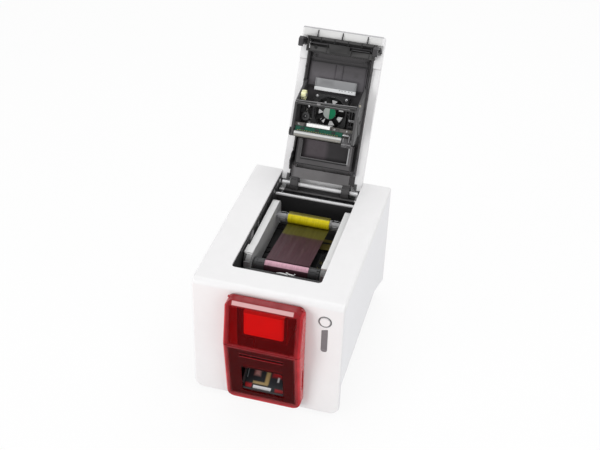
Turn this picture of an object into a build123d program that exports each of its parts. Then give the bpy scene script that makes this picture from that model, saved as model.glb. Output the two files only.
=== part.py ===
from build123d import *
from math import acos, asin, atan2, cos, hypot, pi, radians, sin, tan
import os

os.makedirs("parts", exist_ok=True)

# A desktop printer for plastic cards, lid open.  Millimetres.  +X is the
# viewer's right, -Y the front, +Z up; the origin is on the table under the
# middle of the case.

# ---------------------------------------------------------------- the case
case_width = 205.0
case_height = 195.0
case_wall = 2.5
front_lean = 2.6  # the front's lower edge stands this far behind its top edge
front_foot = 6.0  # height of the front's lower edge
apron_depth = 4.0  # how far the sides follow the front below their own edge
side_foot = 57.0
rear_foot = 26.0
foot_slope_run = 69.5  # from the back edge to where the sides' edge is level
top_edge_radius = 8.0
case_corner_radius = 3.0
front_corner_radius = 14.0
case_edge_radius = 1.2

# ------------------------------------------------------------ opening, lid
bay_width = 122.0
bay_margin = 40.0  # case top in front of the opening
lid_length = 229.0  # hinge axis to the lid's front edge
bay_corner_radius = 5.0
lid_side_gap = 1.0
lid_front_gap = 1.5
hinge_inset = 14.5  # hinge axis to the back edge
hinge_drop = 12.0  # hinge axis below the top
open_angle = 118.5
lid_wall = 2.5
lid_corner_radius = 4.0
lid_edge_radius = 2.0
lid_lip_depth = 17.0
lid_ledge_run = 13.0
rim_width = 11.2
rim_depth_front = 12.2
rim_depth_rear = 9.0

# ----------------------------------- inside the lid: s from the hinge, t from the skin
inner_gap = 0.4  # inner frame to the rims
part_gap = 0.2  # between pieces that touch without a fit
inner_back = 9.6
backing_near = 2.9
backing_far = 5.5
fan_room = 9.0  # fan to the upper panel
upper_panel_step = 12.8
upper_panel_t = 10.0
side_strip_t = 14.5
strip_back = 25.0
block_t = 22.0
block_back = 31.0
recess_back = 40.0
bar_run = 21.8
bar_overhang = 1.8
bar_near = 8.0
bar_far = 21.0
rim_step_run = 10.8  # rims are deeper from this far behind the inner frame's front
latch_run = 13.0  # back of the front bar to the latch shaft
latch_t = 17.0
latch_radius = 2.0
latch_inset = 1.4  # lid side to the end of the latch shaft
hook_inset = 1.4
hook_width = 6.2
hook_eye_radius = 4.2
catch_reach = 11.0  # catch pin behind the latch shaft
catch_drop = 19.5  # and below it
catch_radius = 2.0
lug_inset = 4.4
lug_width = 11.0
lug_radius = 9.0
cheek_inset = 2.4
cheek_wall = 3.5
head_s = 80.0  # back of the print head, over the platen
head_gap = 1.0  # head to the card path with the lid closed
pin_radius = 2.0
knob_radius = 6.0
knob_width = 1.9
wheel_radius = 7.0
wheel_width = 6.2
fan_s = 111.0
fan_half = 25.0
fan_bore = 23.0
fan_near = 18.0
fan_far = 30.0
fan_hub_radius = 9.6
fan_blade_radius = 22.2
fan_blades = 7
fan_plate = 1.8

# ------------------------------------------------------- shafts and clearance
running_gap = 0.05
moving_gap = 0.3
hinge_shaft_radius = 3.0
tie_bar_radius = 2.2
tie_bar_inset = 17.0  # in front of the hinge axis
tie_bar_drop = 10.5  # below the hinge axis
axle_radius = 3.0

# ---------------------------------------------------------------- chassis
frame_wall = 2.5
frame_gap = 0.8  # bay edge to the frame plate
frame_front = 17.0  # front face of the case to the frame
frame_back = 6.5
bridge_drop = 84.0  # height of the wall behind the bay
tray_inset = 11.0  # base tray inside the case side
tray_front_inset = 14.0
tray_back_inset = 3.5
tray_floor = 5.0
tray_wall = 2.5
tray_rim_height = 60.0
foot_radius = 8.0
foot_inset_x = 12.0
foot_inset_y = 16.0
screw_radius = 1.5
screw_head_radius = 3.0
screw_head_height = 1.8

# ------------------------------------------------------------- card path
card_width = 54.0
card_length = 85.6
card_thickness = 0.76
card_corner_radius = 3.18
card_count = 47
card_drop = 61.3  # case top to the underside of the lowest card
card_side_gap = 0.6
guide_wall = 3.0
stack_gap = 4.7  # catch pins to the stack
feeder_floor_wall = 2.0
feeder_roof_wall = 1.5

# ------------------------------------------------------- rollers and gears
gear_module = 1.5
pressure_angle = radians(20)
gear_backlash = 0.22
gear_width = 5.0
gear_offset = 2.0  # frame plate to gear
roller_teeth = 18
main_idler_teeth = 32
pick_idler_teeth = 24
pinion_teeth = 12
platen_radius = 7.0
platen_press = 0.3  # platen above the card path
pick_drop = 0.3  # pick roller below the stack
platen_overlap = 3.0  # platen beyond each card edge
transport_inset = 2.0
pick_length = 30.0

# ------------------------------------------------------------- cartridge
film_overlap = 3.5  # film beyond each card edge
film_thickness = 0.3
supply_run = 22.0  # platen to the supply spool
supply_rise = 30.3  # card path to the supply spool
supply_core_radius = 6.0
supply_roll_radius = 8.5
takeup_run = 22.0  # catch pins to the take-up spool
takeup_rise = 28.3
takeup_core_radius = 8.8
takeup_roll_radius = 9.8
spool_gap = 2.3  # spool drum to the rails
spool_axle_radius = 2.6
rail_gap = 3.3  # rails to the frame plates
rail_width = 10.0
rail_wall = 2.5
rail_rise = 6.8  # card path to the rails' underside
rail_height = 38.5
rail_nose = 14.0  # rails ahead of the take-up spool
rail_tail = 22.0  # and behind the supply spool
grip_radius = 19.0  # arched grip on the cartridge's front bar
grip_rise = 6.0
rail_end_radius = 11.0
rail_boss_radius = 6.5

# --------------------------------------------------------- front module
module_half_width = 52.3
module_gap = 0.3  # behind the covers
module_wall = 2.2
cover_inset = 9.0  # case top to the cover's top
cover_height = 67.8  # down to the split
bevel_height = 5.5
stack_room = 2.2  # from the stack's front to the cover's face under the bevel
bevel_run = 4.0  # reach gained down the bevel
bulge_run = 9.5  # and from there to the split
split_gap = 1.0
hopper_bottom = 14.0
hopper_setback = 5.0  # hopper foot behind the bevel's reach
module_corner_radius = 13.0  # seen from the front
module_hollow_radius = 9.0
module_edge_radius = 5.0
cover_hinge_reach = 4.3
cover_hinge_drop = 4.0
cover_pin_radius = 1.5
cover_pin_bite = 0.8  # pin ends inside the cover's sides
mouth_inset = 11.3  # module side to the mouth behind it
mouth_head = 8.0
mouth_foot = 10.0
mouth_radius = 6.0
ear_wall = 2.0
window_margin = 1.5  # card edge to the window's side
window_foot = 17.0
window_head = 21.3  # window to the slot above it
slot_margin = 2.0
slot_drop = 11.9  # split to the slot
slot_height = 5.0
notch_foot = 32.0
notch_height = 36.0
notch_near = 4.0
notch_far = 9.5
hopper_tilt = 35.0  # slope of the hopper tray
hopper_card_inset = 4.0  # hopper foot to the lowest card edge
hopper_card_height = 33.0
hopper_wall = 2.0
hopper_side = 3.5

# ------------------------------------------------------- button and light
button_inset = 25.1
button_drop = 28.5
button_radius = 7.2
button_ring_radius = 8.6
button_gap = 0.4
button_travel_room = 2.2
light_half_width = 4.0
light_drop = 12.5  # button to the light's top
light_length = 38.4
light_slant = 2.2  # its top is this much lower on the left
light_corner = 3.4  # its lower corners

# ------------------------------------------------------------------- back
panel_wall = 2.5
panel_inset = 0.5
panel_gap = 0.2
panel_notch = 13.0  # below the hinge axis
vent_drop = 52.0
vent_length = 60.0
vent_width = 3.0
vent_pitch = 9.0
socket_height = 44.0
socket_gap = 0.1
socket_depth = 9.0
power_half_width, power_half_height = 6.9, 5.9
usb_half_width, usb_half_height = 6.1, 5.3
network_half_width, network_half_height = 7.9, 6.6
usb_step = 34.0  # power socket to the data socket
network_step = 28.0
lock_inset = 28.5
lock_half_width, lock_half_height = 3.5, 1.5
rear_screw_inset = 7.5

# ---------------------------------------------------- worked-out places
case_depth = bay_margin + lid_front_gap + lid_length + hinge_inset
case_front = -case_depth / 2
case_back = case_depth / 2
hinge_y = case_back - hinge_inset
hinge_z = case_height - hinge_drop
bay_front = case_front + bay_margin
lid_half_width = bay_width / 2 - lid_side_gap
frame_inner = bay_width / 2 + frame_gap
frame_outer = frame_inner + frame_wall
frame_top = case_height - case_wall
base_floor = tray_floor + tray_wall
tray_half = case_width / 2 - tray_inset
tray_front = case_front + tray_front_inset
tray_back = case_back - tray_back_inset
boss_x = case_width / 2 - case_wall - 5.0
boss_ys = (case_front + 54.5, case_back - foot_slope_run - 11.0)
# lid
inner_half = lid_half_width - rim_width - inner_gap
front_of_rim = lid_length - lid_ledge_run
bar_front = front_of_rim - part_gap
bar_back = bar_front - bar_run
bar_half = inner_half + bar_overhang
inner_front = bar_back - part_gap
rim_step_at = inner_front - rim_step_run
upper_panel_start = fan_s + fan_half + fan_room
latch_s = bar_back + latch_run
latch_half = lid_half_width - latch_inset
hook_far = latch_half - hook_inset
hook_near = hook_far - hook_width
catch_s = latch_s - catch_reach
catch_t = latch_t + catch_drop
catch_y = hinge_y - catch_s
catch_z = case_height - catch_t
lug_outer = inner_half - lug_inset
lug_inner = lug_outer - lug_width
cheek_outer = inner_half - cheek_inset
cheek_inner = cheek_outer - cheek_wall
head_t = card_drop - head_gap
head_right = cheek_inner - 14.5
pivot_s = head_s - 2.0  # head lever and knob
pivot_t = head_t - 5.3
wheel_s = head_s + 51.0
wheel_t = head_t - 22.3
# rollers and gears
card_path = case_height - card_drop
roller_axis = card_path - platen_radius + platen_press
transport_radius = card_path - roller_axis
pick_radius = transport_radius - pick_drop
platen_length = card_width + 2 * platen_overlap
transport_length = card_width - 2 * transport_inset
platen_y = hinge_y - head_s
transport_y = platen_y - gear_module * (roller_teeth + main_idler_teeth)
main_idler_y = platen_y - gear_module * (roller_teeth + main_idler_teeth) / 2
pick_y = transport_y - gear_module * (roller_teeth + pick_idler_teeth)
pick_idler_y = transport_y - gear_module * (roller_teeth + pick_idler_teeth) / 2
motor_z = roller_axis - gear_module * (pinion_teeth + main_idler_teeth) / 2
gear_near = frame_outer + gear_offset
gear_far = gear_near + gear_width
# cartridge
film_width = card_width + 2 * film_overlap
supply_y, supply_z = platen_y + supply_run, card_path + supply_rise
takeup_y, takeup_z = catch_y + takeup_run, card_path + takeup_rise
rail_outer = frame_inner - rail_gap
rail_inner = rail_outer - rail_width
rail_bottom = card_path + rail_rise
rail_top = rail_bottom + rail_height
rail_front = takeup_y - rail_nose
rail_back = supply_y + rail_tail
spool_half_length = rail_inner - spool_gap
# cards
stack_half_width = card_width / 2
guide_inner = stack_half_width + card_side_gap
guide_outer = guide_inner + guide_wall
stack_top = card_path + card_count * card_thickness
stack_back = catch_y - stack_gap
stack_front = stack_back - card_length
feeder_back = stack_back + 2.0
# front module
cover_top = case_height - cover_inset
bevel_top = cover_top - bevel_height
split_height = cover_top - cover_height
bevel_reach = case_front - stack_front + stack_room
cover_flat = bevel_reach - bevel_run
bulge_reach = bevel_reach + bulge_run
hopper_reach = bevel_reach - hopper_setback
mouth_half_width = module_half_width - mouth_inset
mouth_bottom = hopper_bottom + mouth_foot
mouth_top = cover_top - mouth_head
ear_near = mouth_half_width + 0.1
ear_far = ear_near + ear_wall
window_half_width = stack_half_width + window_margin
slot_half_width = stack_half_width + slot_margin
slot_top = split_height - slot_drop
slot_bottom = slot_top - slot_height
window_bottom = hopper_bottom + window_foot
window_top = slot_bottom - window_head
notch_bottom = hopper_bottom + notch_foot
notch_top = notch_bottom + notch_height
button_x = case_width / 2 - button_inset
button_height = case_height - button_drop
light_x = button_x + 0.1
light_top = button_height - light_drop
light_bottom = light_top - light_length
# back
panel_far = case_back - panel_inset
panel_near = panel_far - panel_wall
power_x = -(frame_outer + tray_half - tray_wall) / 2
usb_x = power_x + usb_step
network_x = usb_x + network_step
lock_x = case_width / 2 - lock_inset

# ------------------------------------------------------- reference planes
lean = atan2(front_lean, case_height - front_foot)
front_plane = Plane(
    origin=(0, case_front + case_height * tan(lean), 0),
    x_dir=(1, 0, 0),
    z_dir=(0, -cos(lean), -sin(lean)),
)
front_section = Plane(origin=front_plane.origin, x_dir=front_plane.z_dir, z_dir=(-1, 0, 0))
lid_plane = Plane(
    origin=(0, hinge_y, hinge_z),
    x_dir=(1, 0, 0),
    z_dir=(0, sin(radians(open_angle)), cos(radians(open_angle))),
)
lid_section = Plane(origin=lid_plane.origin, x_dir=lid_plane.y_dir, z_dir=(1, 0, 0))


def axle_plane(x, y, z):
    """The plane across an axle that runs along X, with +Y as its first axis."""
    return Plane(origin=(x, y, z), x_dir=(0, 1, 0), z_dir=(1, 0, 0))


def block(x0, x1, y0, y1, z0, z1, mode=Mode.ADD):
    """A box between two corners of the builder's own frame."""
    with Locations(((x0 + x1) / 2, (y0 + y1) / 2, (z0 + z1) / 2)):
        Box(x1 - x0, y1 - y0, z1 - z0, mode=mode)


def mirrored_blocks(x0, x1, y0, y1, z0, z1, mode=Mode.ADD):
    """The same box on the left and on the right."""
    block(x0, x1, y0, y1, z0, z1, mode)
    block(-x1, -x0, y0, y1, z0, z1, mode)


def lid_block(x0, x1, s0, s1, t0, t1, mode=Mode.ADD):
    """A box in the lid: s runs from the hinge to the front, t inwards from the skin."""
    block(x0, x1, -s1, -s0, hinge_drop - t1, hinge_drop - t0, mode)


def lid_blocks(x0, x1, s0, s1, t0, t1, mode=Mode.ADD):
    """The same box on both sides of the lid."""
    lid_block(x0, x1, s0, s1, t0, t1, mode)
    lid_block(-x1, -x0, s0, s1, t0, t1, mode)


def rod(x0, x1, y, z, radius, mode=Mode.ADD):
    """A round bar along X, in the builder's own frame."""
    with Locations(Location(((x0 + x1) / 2, y, z), (0, 90, 0))):
        Cylinder(radius, x1 - x0, mode=mode)


def lid_rod(x0, x1, s, t, radius, mode=Mode.ADD):
    """A round bar along X in the lid."""
    rod(x0, x1, -s, hinge_drop - t, radius, mode)


def finish(piece, label):
    """Names a finished piece and writes it."""
    piece.part.label = label
    export_step(piece.part, f"parts/{label}.step")


# =================================================================== case
def front_at(height):
    """Where the leaning front face stands at a height."""
    return case_front + (case_height - height) * tan(lean)


with BuildSketch() as light_sketch:
    light_left, light_right = light_x - light_half_width, light_x + light_half_width
    with BuildLine():
        Polyline(
            (light_left, light_bottom),
            (light_right, light_bottom),
            (light_right, light_top),
            (light_left, light_top - light_slant),
            close=True,
        )
    make_face()
    fillet(light_sketch.vertices().group_by(Axis.Y)[0], light_corner)
    fillet(light_sketch.vertices().group_by(Axis.Y)[-1], 0.8)
light_outline = light_sketch.sketch_local

with BuildPart() as outer_case:
    with BuildSketch(Plane.YZ):
        with BuildLine():
            Polyline(
                (case_front, case_height),
                (case_back, case_height),
                (case_back, rear_foot),
                (case_back - foot_slope_run, side_foot),
                (front_at(side_foot) + apron_depth, side_foot),
                (front_at(front_foot) + apron_depth, front_foot),
                (front_at(front_foot), front_foot),
                close=True,
            )
        make_face()
    extrude(amount=case_width / 2, both=True)
    front_face = outer_case.faces().sort_by(Axis.Y)[0]
    fillet(front_face.edges().group_by(Axis.Z)[-1], top_edge_radius)
    sides = outer_case.edges().filter_by(
        lambda e: abs(abs(e.center().X) - case_width / 2) < 0.01
        and e.center().Y < case_back - foot_slope_run
        and e.bounding_box().size.Z > case_height / 2
    )
    fillet(sides.sort_by(Axis.Y)[0:2], case_corner_radius)
    with BuildSketch(Plane.YZ):
        with BuildLine():
            Polyline(
                (case_front + case_wall, case_height - case_wall),
                (case_back + case_wall, case_height - case_wall),
                (case_back + case_wall, -case_wall),
                (front_at(-case_wall) + case_wall, -case_wall),
                close=True,
            )
        make_face()
        fillet(vertices().group_by(Axis.Y)[-1].sort_by(Axis.X)[0], top_edge_radius - case_wall)
    extrude(amount=case_width / 2 - case_wall, both=True, mode=Mode.SUBTRACT)
    # lower corners of the front, rounded
    with BuildSketch(front_plane.offset(1)):
        with Locations((0, front_foot - 2 + case_height / 2)):
            Rectangle(2 * case_width, case_height)
        with Locations((0, front_foot + case_height)):
            RectangleRounded(case_width, 2 * case_height, front_corner_radius, mode=Mode.SUBTRACT)
    extrude(amount=-(apron_depth + 2), mode=Mode.SUBTRACT)
    # the lid's opening runs out through the back
    with BuildSketch(Plane.XY.offset(case_height)):
        with Locations((0, bay_front + case_depth / 2)):
            RectangleRounded(bay_width, case_depth, bay_corner_radius)
    extrude(amount=-3 * case_wall, mode=Mode.SUBTRACT)
    # mouth behind the module, button and light holes
    with BuildSketch(front_plane.offset(1)):
        with Locations((0, (mouth_bottom + mouth_top) / 2)):
            RectangleRounded(2 * mouth_half_width, mouth_top - mouth_bottom, mouth_radius)
        with Locations((button_x, button_height)):
            Circle(button_ring_radius)
        add(light_outline)
    extrude(amount=-2 * case_wall, mode=Mode.SUBTRACT)
    # ears that carry the feeder cover's hinge pins
    with Locations(front_section.location):
        with Locations((cover_hinge_reach, cover_top - cover_hinge_drop)):
            for side in (-1, 1):
                ends = sorted((side * ear_near, side * ear_far))
                block(-1.2, 1.5, -9, 0, ends[0], ends[1])
                block(-cover_hinge_reach - 1, 1.5, -9, -5, ends[0], ends[1])
                pin = sorted((side * ear_near, side * (module_half_width - module_wall + cover_pin_bite)))
                with Locations((0, 0, (pin[0] + pin[1]) / 2)):
                    Cylinder(cover_pin_radius, pin[1] - pin[0])
    # bosses for the screws that come up through the tray's rim
    boss_foot = tray_rim_height + tray_wall
    for y in boss_ys:
        for side in (-1, 1):
            with Locations((side * boss_x, y, boss_foot + 7)):
                Cylinder(4, 14)
                Cylinder(screw_radius, 14, mode=Mode.SUBTRACT)
            edge = sorted((side * (boss_x + 3), side * (case_width / 2 - case_wall)))
            block(edge[0], edge[1], y - 2, y + 2, boss_foot, boss_foot + 14)
finish(outer_case, "outer_case")

socket_sizes = {
    "power": (power_x, power_half_width, power_half_height, 1.6),
    "usb": (usb_x, usb_half_width, usb_half_height, 1.2),
    "network": (network_x, network_half_width, network_half_height, 1.5),
}
rear_screws = [
    (side * (case_width / 2 - rear_screw_inset), height)
    for side in (-1, 1)
    for height in (rear_foot + 14, case_height - 20)
]

with BuildPart() as rear_panel:
    panel_half = case_width / 2 - case_wall - panel_gap
    notch_foot_z = hinge_z - panel_notch
    block(-panel_half, panel_half, panel_near, panel_far, rear_foot + 1, frame_top)
    with Locations((0, (panel_near + panel_far) / 2, 0)):
        half_bay = bay_width / 2
        block(-half_bay, half_bay, -panel_wall, panel_wall, notch_foot_z, case_height, Mode.SUBTRACT)
        # sockets and lock slot
        for x, half_width, half_height, _ in socket_sizes.values():
            with Locations((x, 0, socket_height)):
                wide, tall = half_width + socket_gap, half_height + socket_gap
                block(-wide, wide, -panel_wall, panel_wall, -tall, tall, Mode.SUBTRACT)
        with Locations((lock_x, 0, socket_height)):
            Box(2 * lock_half_width, 2 * panel_wall, 2 * lock_half_height, mode=Mode.SUBTRACT)
    with BuildSketch(Plane.XZ.offset(-panel_near + 1)):
        with GridLocations(vent_pitch, 0, 13, 1):
            with Locations((0, notch_foot_z - vent_drop)):
                SlotOverall(vent_length, vent_width, rotation=90)
        with Locations(*rear_screws):
            Circle(screw_radius + part_gap)
    extrude(amount=-2 * panel_wall, mode=Mode.SUBTRACT)
finish(rear_panel, "rear_panel")

with BuildPart() as base_tray:
    block(-tray_half, tray_half, tray_front, tray_back, tray_floor, tray_rim_height)
    fillet(base_tray.edges().filter_by(Axis.Z), 4)
    fillet(base_tray.faces().sort_by(Axis.Z)[0].edges(), 1.5)
    block(
        -tray_half + tray_wall,
        tray_half - tray_wall,
        tray_front + tray_wall,
        tray_back - tray_wall,
        base_floor,
        tray_rim_height + 1,
        Mode.SUBTRACT,
    )
    # the front is low so that the hopper drops in, the back meets the rear panel's foot
    low_half, above = mouth_half_width + 4, tray_rim_height + 1
    cut_from, cut_to = tray_front - 1, tray_front + tray_wall + 1
    block(-low_half, low_half, cut_from, cut_to, base_floor + 4.5, above, Mode.SUBTRACT)
    cut_from, cut_to = tray_back - tray_wall - 1, tray_back + 1
    block(-tray_half - 1, tray_half + 1, cut_from, cut_to, rear_foot, above, Mode.SUBTRACT)
    # outward rim under the case's bosses
    rim_half = case_width / 2 - case_wall - 0.3
    for side in (-1, 1):
        edge = sorted((side * (tray_half - tray_wall), side * rim_half))
        block(edge[0], edge[1], boss_ys[0] - 12, boss_ys[1] + 11, tray_rim_height, boss_foot)
    with BuildSketch(Plane.XY.offset(tray_rim_height - 1)):
        with Locations(*[(side * boss_x, y) for side in (-1, 1) for y in boss_ys]):
            Circle(screw_radius + 0.2)
    extrude(amount=tray_wall + 2, mode=Mode.SUBTRACT)
finish(base_tray, "base_tray")

with BuildPart() as rubber_feet:
    foot_x = tray_half - foot_inset_x
    foot_ys = (tray_front + foot_inset_y, tray_back - foot_inset_y)
    for y in foot_ys:
        for side in (-1, 1):
            with Locations((side * foot_x, y, tray_floor / 2)):
                Cylinder(foot_radius, tray_floor)
    chamfer(rubber_feet.edges().group_by(Axis.Z)[0], 0.8)
finish(rubber_feet, "rubber_feet")

# ================================================================ chassis
rest_blocks = (rail_front + 20, rail_back - 46)  # where the cartridge stands on the frames


def frame_plate(near, far, inward, is_drive_side):
    """One side plate of the chassis, with its bearing holes and cartridge rests."""
    block(near, far, case_front + frame_front, case_back - frame_back, base_floor, frame_top)
    low, high = near - 1, far + 1
    rod(low, high, hinge_y, hinge_z, hinge_shaft_radius, Mode.SUBTRACT)
    rod(low, high, hinge_y - tie_bar_inset, hinge_z - tie_bar_drop, tie_bar_radius, Mode.SUBTRACT)
    for y in (platen_y, transport_y, pick_y):
        rod(low, high, y, roller_axis, axle_radius + running_gap, Mode.SUBTRACT)
    rod(low, high, catch_y, catch_z, catch_radius, Mode.SUBTRACT)
    # large lightening windows under the card path
    block(low, high, rail_front, rail_back + 14, base_floor + 30, motor_z - 20, Mode.SUBTRACT)
    for y in rest_blocks:
        reach = sorted((inward, inward - 9 * (1 if inward > 0 else -1)))
        block(reach[0], reach[1], y - 6, y + 6, rail_bottom - 3.5, rail_bottom)
    if is_drive_side:
        rod(near - 1, far + 1, main_idler_y, motor_z, 11, Mode.SUBTRACT)
        for y in (main_idler_y, pick_idler_y):
            rod(far, gear_far + 1.5, y, roller_axis, axle_radius)


with BuildPart() as left_frame:
    frame_plate(-frame_outer, -frame_inner, -frame_inner, False)
finish(left_frame, "left_frame")

with BuildPart() as right_frame:
    frame_plate(frame_inner, frame_outer, frame_inner, True)
finish(right_frame, "right_frame")

with BuildPart() as rear_bridge:
    bridge_top = hinge_z - hinge_drop - 3.0
    bridge_front = hinge_y - 12.0
    bridge_back = case_back - frame_back
    block(-frame_inner, frame_inner, bridge_front, bridge_back, bridge_top - 2, bridge_top)
    # wall between the bay and the vents
    bridge_foot = bridge_top - bridge_drop
    block(-frame_inner, frame_inner, bridge_front, bridge_front + 2, bridge_foot, bridge_top - 2)
    block(-frame_inner, frame_inner, bridge_back - 2, bridge_back, bridge_top, bridge_top + 4)
finish(rear_bridge, "rear_bridge")

with BuildPart() as hinge_shaft:
    rod(-frame_outer, frame_outer, hinge_y, hinge_z, hinge_shaft_radius)
    chamfer(hinge_shaft.edges(), 0.5)
finish(hinge_shaft, "hinge_shaft")

with BuildPart() as tie_bar:
    rod(-frame_outer, frame_outer, hinge_y - tie_bar_inset, hinge_z - tie_bar_drop, tie_bar_radius)
finish(tie_bar, "tie_bar")

with BuildPart() as latch_catches:
    for side in (-1, 1):
        ends = sorted((side * (hook_near - 0.5), side * frame_outer))
        rod(ends[0], ends[1], catch_y, catch_z, catch_radius)
finish(latch_catches, "latch_catches")

with BuildPart() as card_guide:
    guide_top = card_path - 0.3
    block(-frame_inner, frame_inner, feeder_back + 1, bridge_front - 2, guide_top - 2, guide_top)
    for y, length, radius in (
        (platen_y, platen_length, platen_radius),
        (transport_y, transport_length, transport_radius),
        (pick_y, pick_length, pick_radius),
    ):
        half = length / 2 + 1
        block(-half, half, y - radius - 1, y + radius + 1, guide_top - 3, guide_top + 1, Mode.SUBTRACT)
    # raised edges that keep the card straight
    for side in (-1, 1):
        edge = sorted((side * guide_inner, side * guide_outer))
        block(edge[0], edge[1], transport_y + 12, platen_y - 12, guide_top, guide_top + 2)
finish(card_guide, "card_guide")

with BuildPart() as main_board:
    board_half_width = frame_inner - 5.8
    board_half_length = 88.0
    board_wall = 1.6
    standoff = 6.0
    with Locations((0, case_back - 24.5 - board_half_length, base_floor + standoff)):
        block(-board_half_width, board_half_width, -board_half_length, board_half_length, 0, board_wall)
        with Locations((0, 0, -standoff / 2)):
            with GridLocations(2 * (board_half_width - 6), 2 * (board_half_length - 6), 2, 2):
                Cylinder(3, standoff)
        block(-40, -22, -40, -22, board_wall, board_wall + 2.4)
        block(5, 29, 0, 24, board_wall, board_wall + 1.8)
        block(-45, -20, 30, 50, board_wall, board_wall + 12.4)
        for y in (40, 54, 68):
            with Locations((40, y, board_wall + 6)):
                Cylinder(5, 12)
finish(main_board, "main_board")

with BuildPart() as drive_motor:
    motor_half = 17.5
    block(
        frame_inner - 24,
        frame_inner,
        main_idler_y - motor_half,
        main_idler_y + motor_half,
        motor_z - motor_half,
        motor_z + motor_half,
    )
    chamfer(drive_motor.edges().filter_by(Axis.X), 3)
    rod(frame_inner, frame_outer, main_idler_y, motor_z, 10.5)
finish(drive_motor, "drive_motor")

with BuildPart() as ribbon_motor:
    ribbon_motor_y = takeup_y + 4
    rod(frame_outer, frame_outer + 24, ribbon_motor_y, takeup_z + 2, 12)
    fillet(ribbon_motor.edges().sort_by(Axis.X)[-1], 2)
    with Locations((frame_outer + 1.5, ribbon_motor_y, takeup_z + 2)):
        Box(3, 34, 16)
finish(ribbon_motor, "ribbon_motor")


def socket(name):
    """A socket shell on the back, with an open mouth to the rear."""
    x, half_width, half_height, wall = socket_sizes[name]
    wide, tall = half_width - wall, half_height - wall
    with Locations((x, panel_far, socket_height)):
        block(-half_width, half_width, -socket_depth - 4.5, 0.3, -half_height, half_height)
        block(-wide, wide, -socket_depth, 1, -tall, tall, Mode.SUBTRACT)


with BuildPart() as power_socket:
    socket("power")
finish(power_socket, "power_socket")

with BuildPart() as usb_socket:
    socket("usb")
finish(usb_socket, "usb_socket")

with BuildPart() as network_socket:
    socket("network")
finish(network_socket, "network_socket")

with BuildPart() as case_screws:
    for side in (-1, 1):
        for y in boss_ys:
            with Locations((side * boss_x, y, tray_rim_height - screw_head_height / 2)):
                Cylinder(screw_head_radius, screw_head_height)
            with Locations((side * boss_x, y, tray_rim_height + 5)):
                Cylinder(screw_radius, 10)
    for x, z in rear_screws:
        with Locations(Location((x, panel_far + screw_head_height / 2, z), (90, 0, 0))):
            Cylinder(screw_head_radius, screw_head_height)
        with Locations(Location((x, panel_far - 4, z), (90, 0, 0))):
            Cylinder(screw_radius, 8)
finish(case_screws, "case_screws")

# ================================================================= rollers
roller_shaft_left = -frame_outer - 2.0


def roller(y, radius, length):
    """A rubber-covered roller on its steel shaft, which ends in the gear."""
    rod(roller_shaft_left, gear_far + 1.5, y, roller_axis, axle_radius)
    rod(-length / 2, length / 2, y, roller_axis, radius)


def involute(angle):
    return tan(angle) - angle


def gear_outline(teeth, first_tooth):
    """Points round a spur gear, four to each flank, from the involute of its base circle."""
    pitch_radius = gear_module * teeth / 2
    base_radius = pitch_radius * cos(pressure_angle)
    root_radius = pitch_radius - 1.25 * gear_module
    tip_radius = pitch_radius + 0.92 * gear_module
    half_pitch = (pi * gear_module / 2 - gear_backlash) / 2 / pitch_radius
    start_radius = max(root_radius, base_radius)
    flank = [(root_radius, 0.0)] if root_radius < base_radius else []
    for part in (0, 1 / 3, 2 / 3, 1):
        flank.append((start_radius + part * (tip_radius - start_radius), 0.0))
    points = []
    for tooth in range(teeth):
        middle = first_tooth + 2 * pi * tooth / teeth
        halves = []
        for radius, _ in flank:
            roll = acos(min(1.0, base_radius / radius))
            halves.append((radius, half_pitch + involute(pressure_angle) - involute(roll)))
        for radius, half in halves:
            points.append((radius * cos(middle - half), radius * sin(middle - half)))
        for radius, half in reversed(halves):
            points.append((radius * cos(middle + half), radius * sin(middle + half)))
    return points


def gear(y, z, teeth, first_tooth, bore):
    """A spur gear outside the right frame plate."""
    with BuildPart() as wheel:
        with BuildSketch(axle_plane(gear_near, y, z)):
            with BuildLine():
                Polyline(*gear_outline(teeth, first_tooth), close=True)
            make_face()
            Circle(bore, mode=Mode.SUBTRACT)
        extrude(amount=gear_width)
        web = gear_module * teeth / 2 - 1.25 * gear_module - 2.5
        if web > bore + 4:
            with BuildSketch(axle_plane(gear_far, y, z)):
                Circle(web)
                Circle(bore + 2.5, mode=Mode.SUBTRACT)
            extrude(amount=-1.5, mode=Mode.SUBTRACT)
    return wheel


with BuildPart() as platen_roller:
    roller(platen_y, platen_radius, platen_length)
finish(platen_roller, "platen_roller")

with BuildPart() as transport_roller:
    roller(transport_y, transport_radius, transport_length)
finish(transport_roller, "transport_roller")

with BuildPart() as pick_roller:
    roller(pick_y, pick_radius, pick_length)
finish(pick_roller, "pick_roller")

half_tooth = pi / main_idler_teeth
finish(gear(platen_y, roller_axis, roller_teeth, 0, axle_radius), "platen_gear")
finish(gear(transport_y, roller_axis, roller_teeth, 0, axle_radius), "transport_gear")
finish(gear(pick_y, roller_axis, roller_teeth, 0, axle_radius), "pick_gear")
idler_bore = axle_radius + running_gap
finish(gear(main_idler_y, roller_axis, main_idler_teeth, half_tooth, idler_bore), "main_idler")
finish(gear(pick_idler_y, roller_axis, pick_idler_teeth, pi / pick_idler_teeth, idler_bore), "pick_idler")

pinion_bore = 2.5
pinion_gear = gear(main_idler_y, motor_z, pinion_teeth, 0, pinion_bore)
with BuildPart() as motor_pinion:
    rod(frame_outer + 0.4, gear_far + 1, main_idler_y, motor_z, pinion_bore)
    add(pinion_gear.part)
finish(motor_pinion, "motor_pinion")

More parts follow.
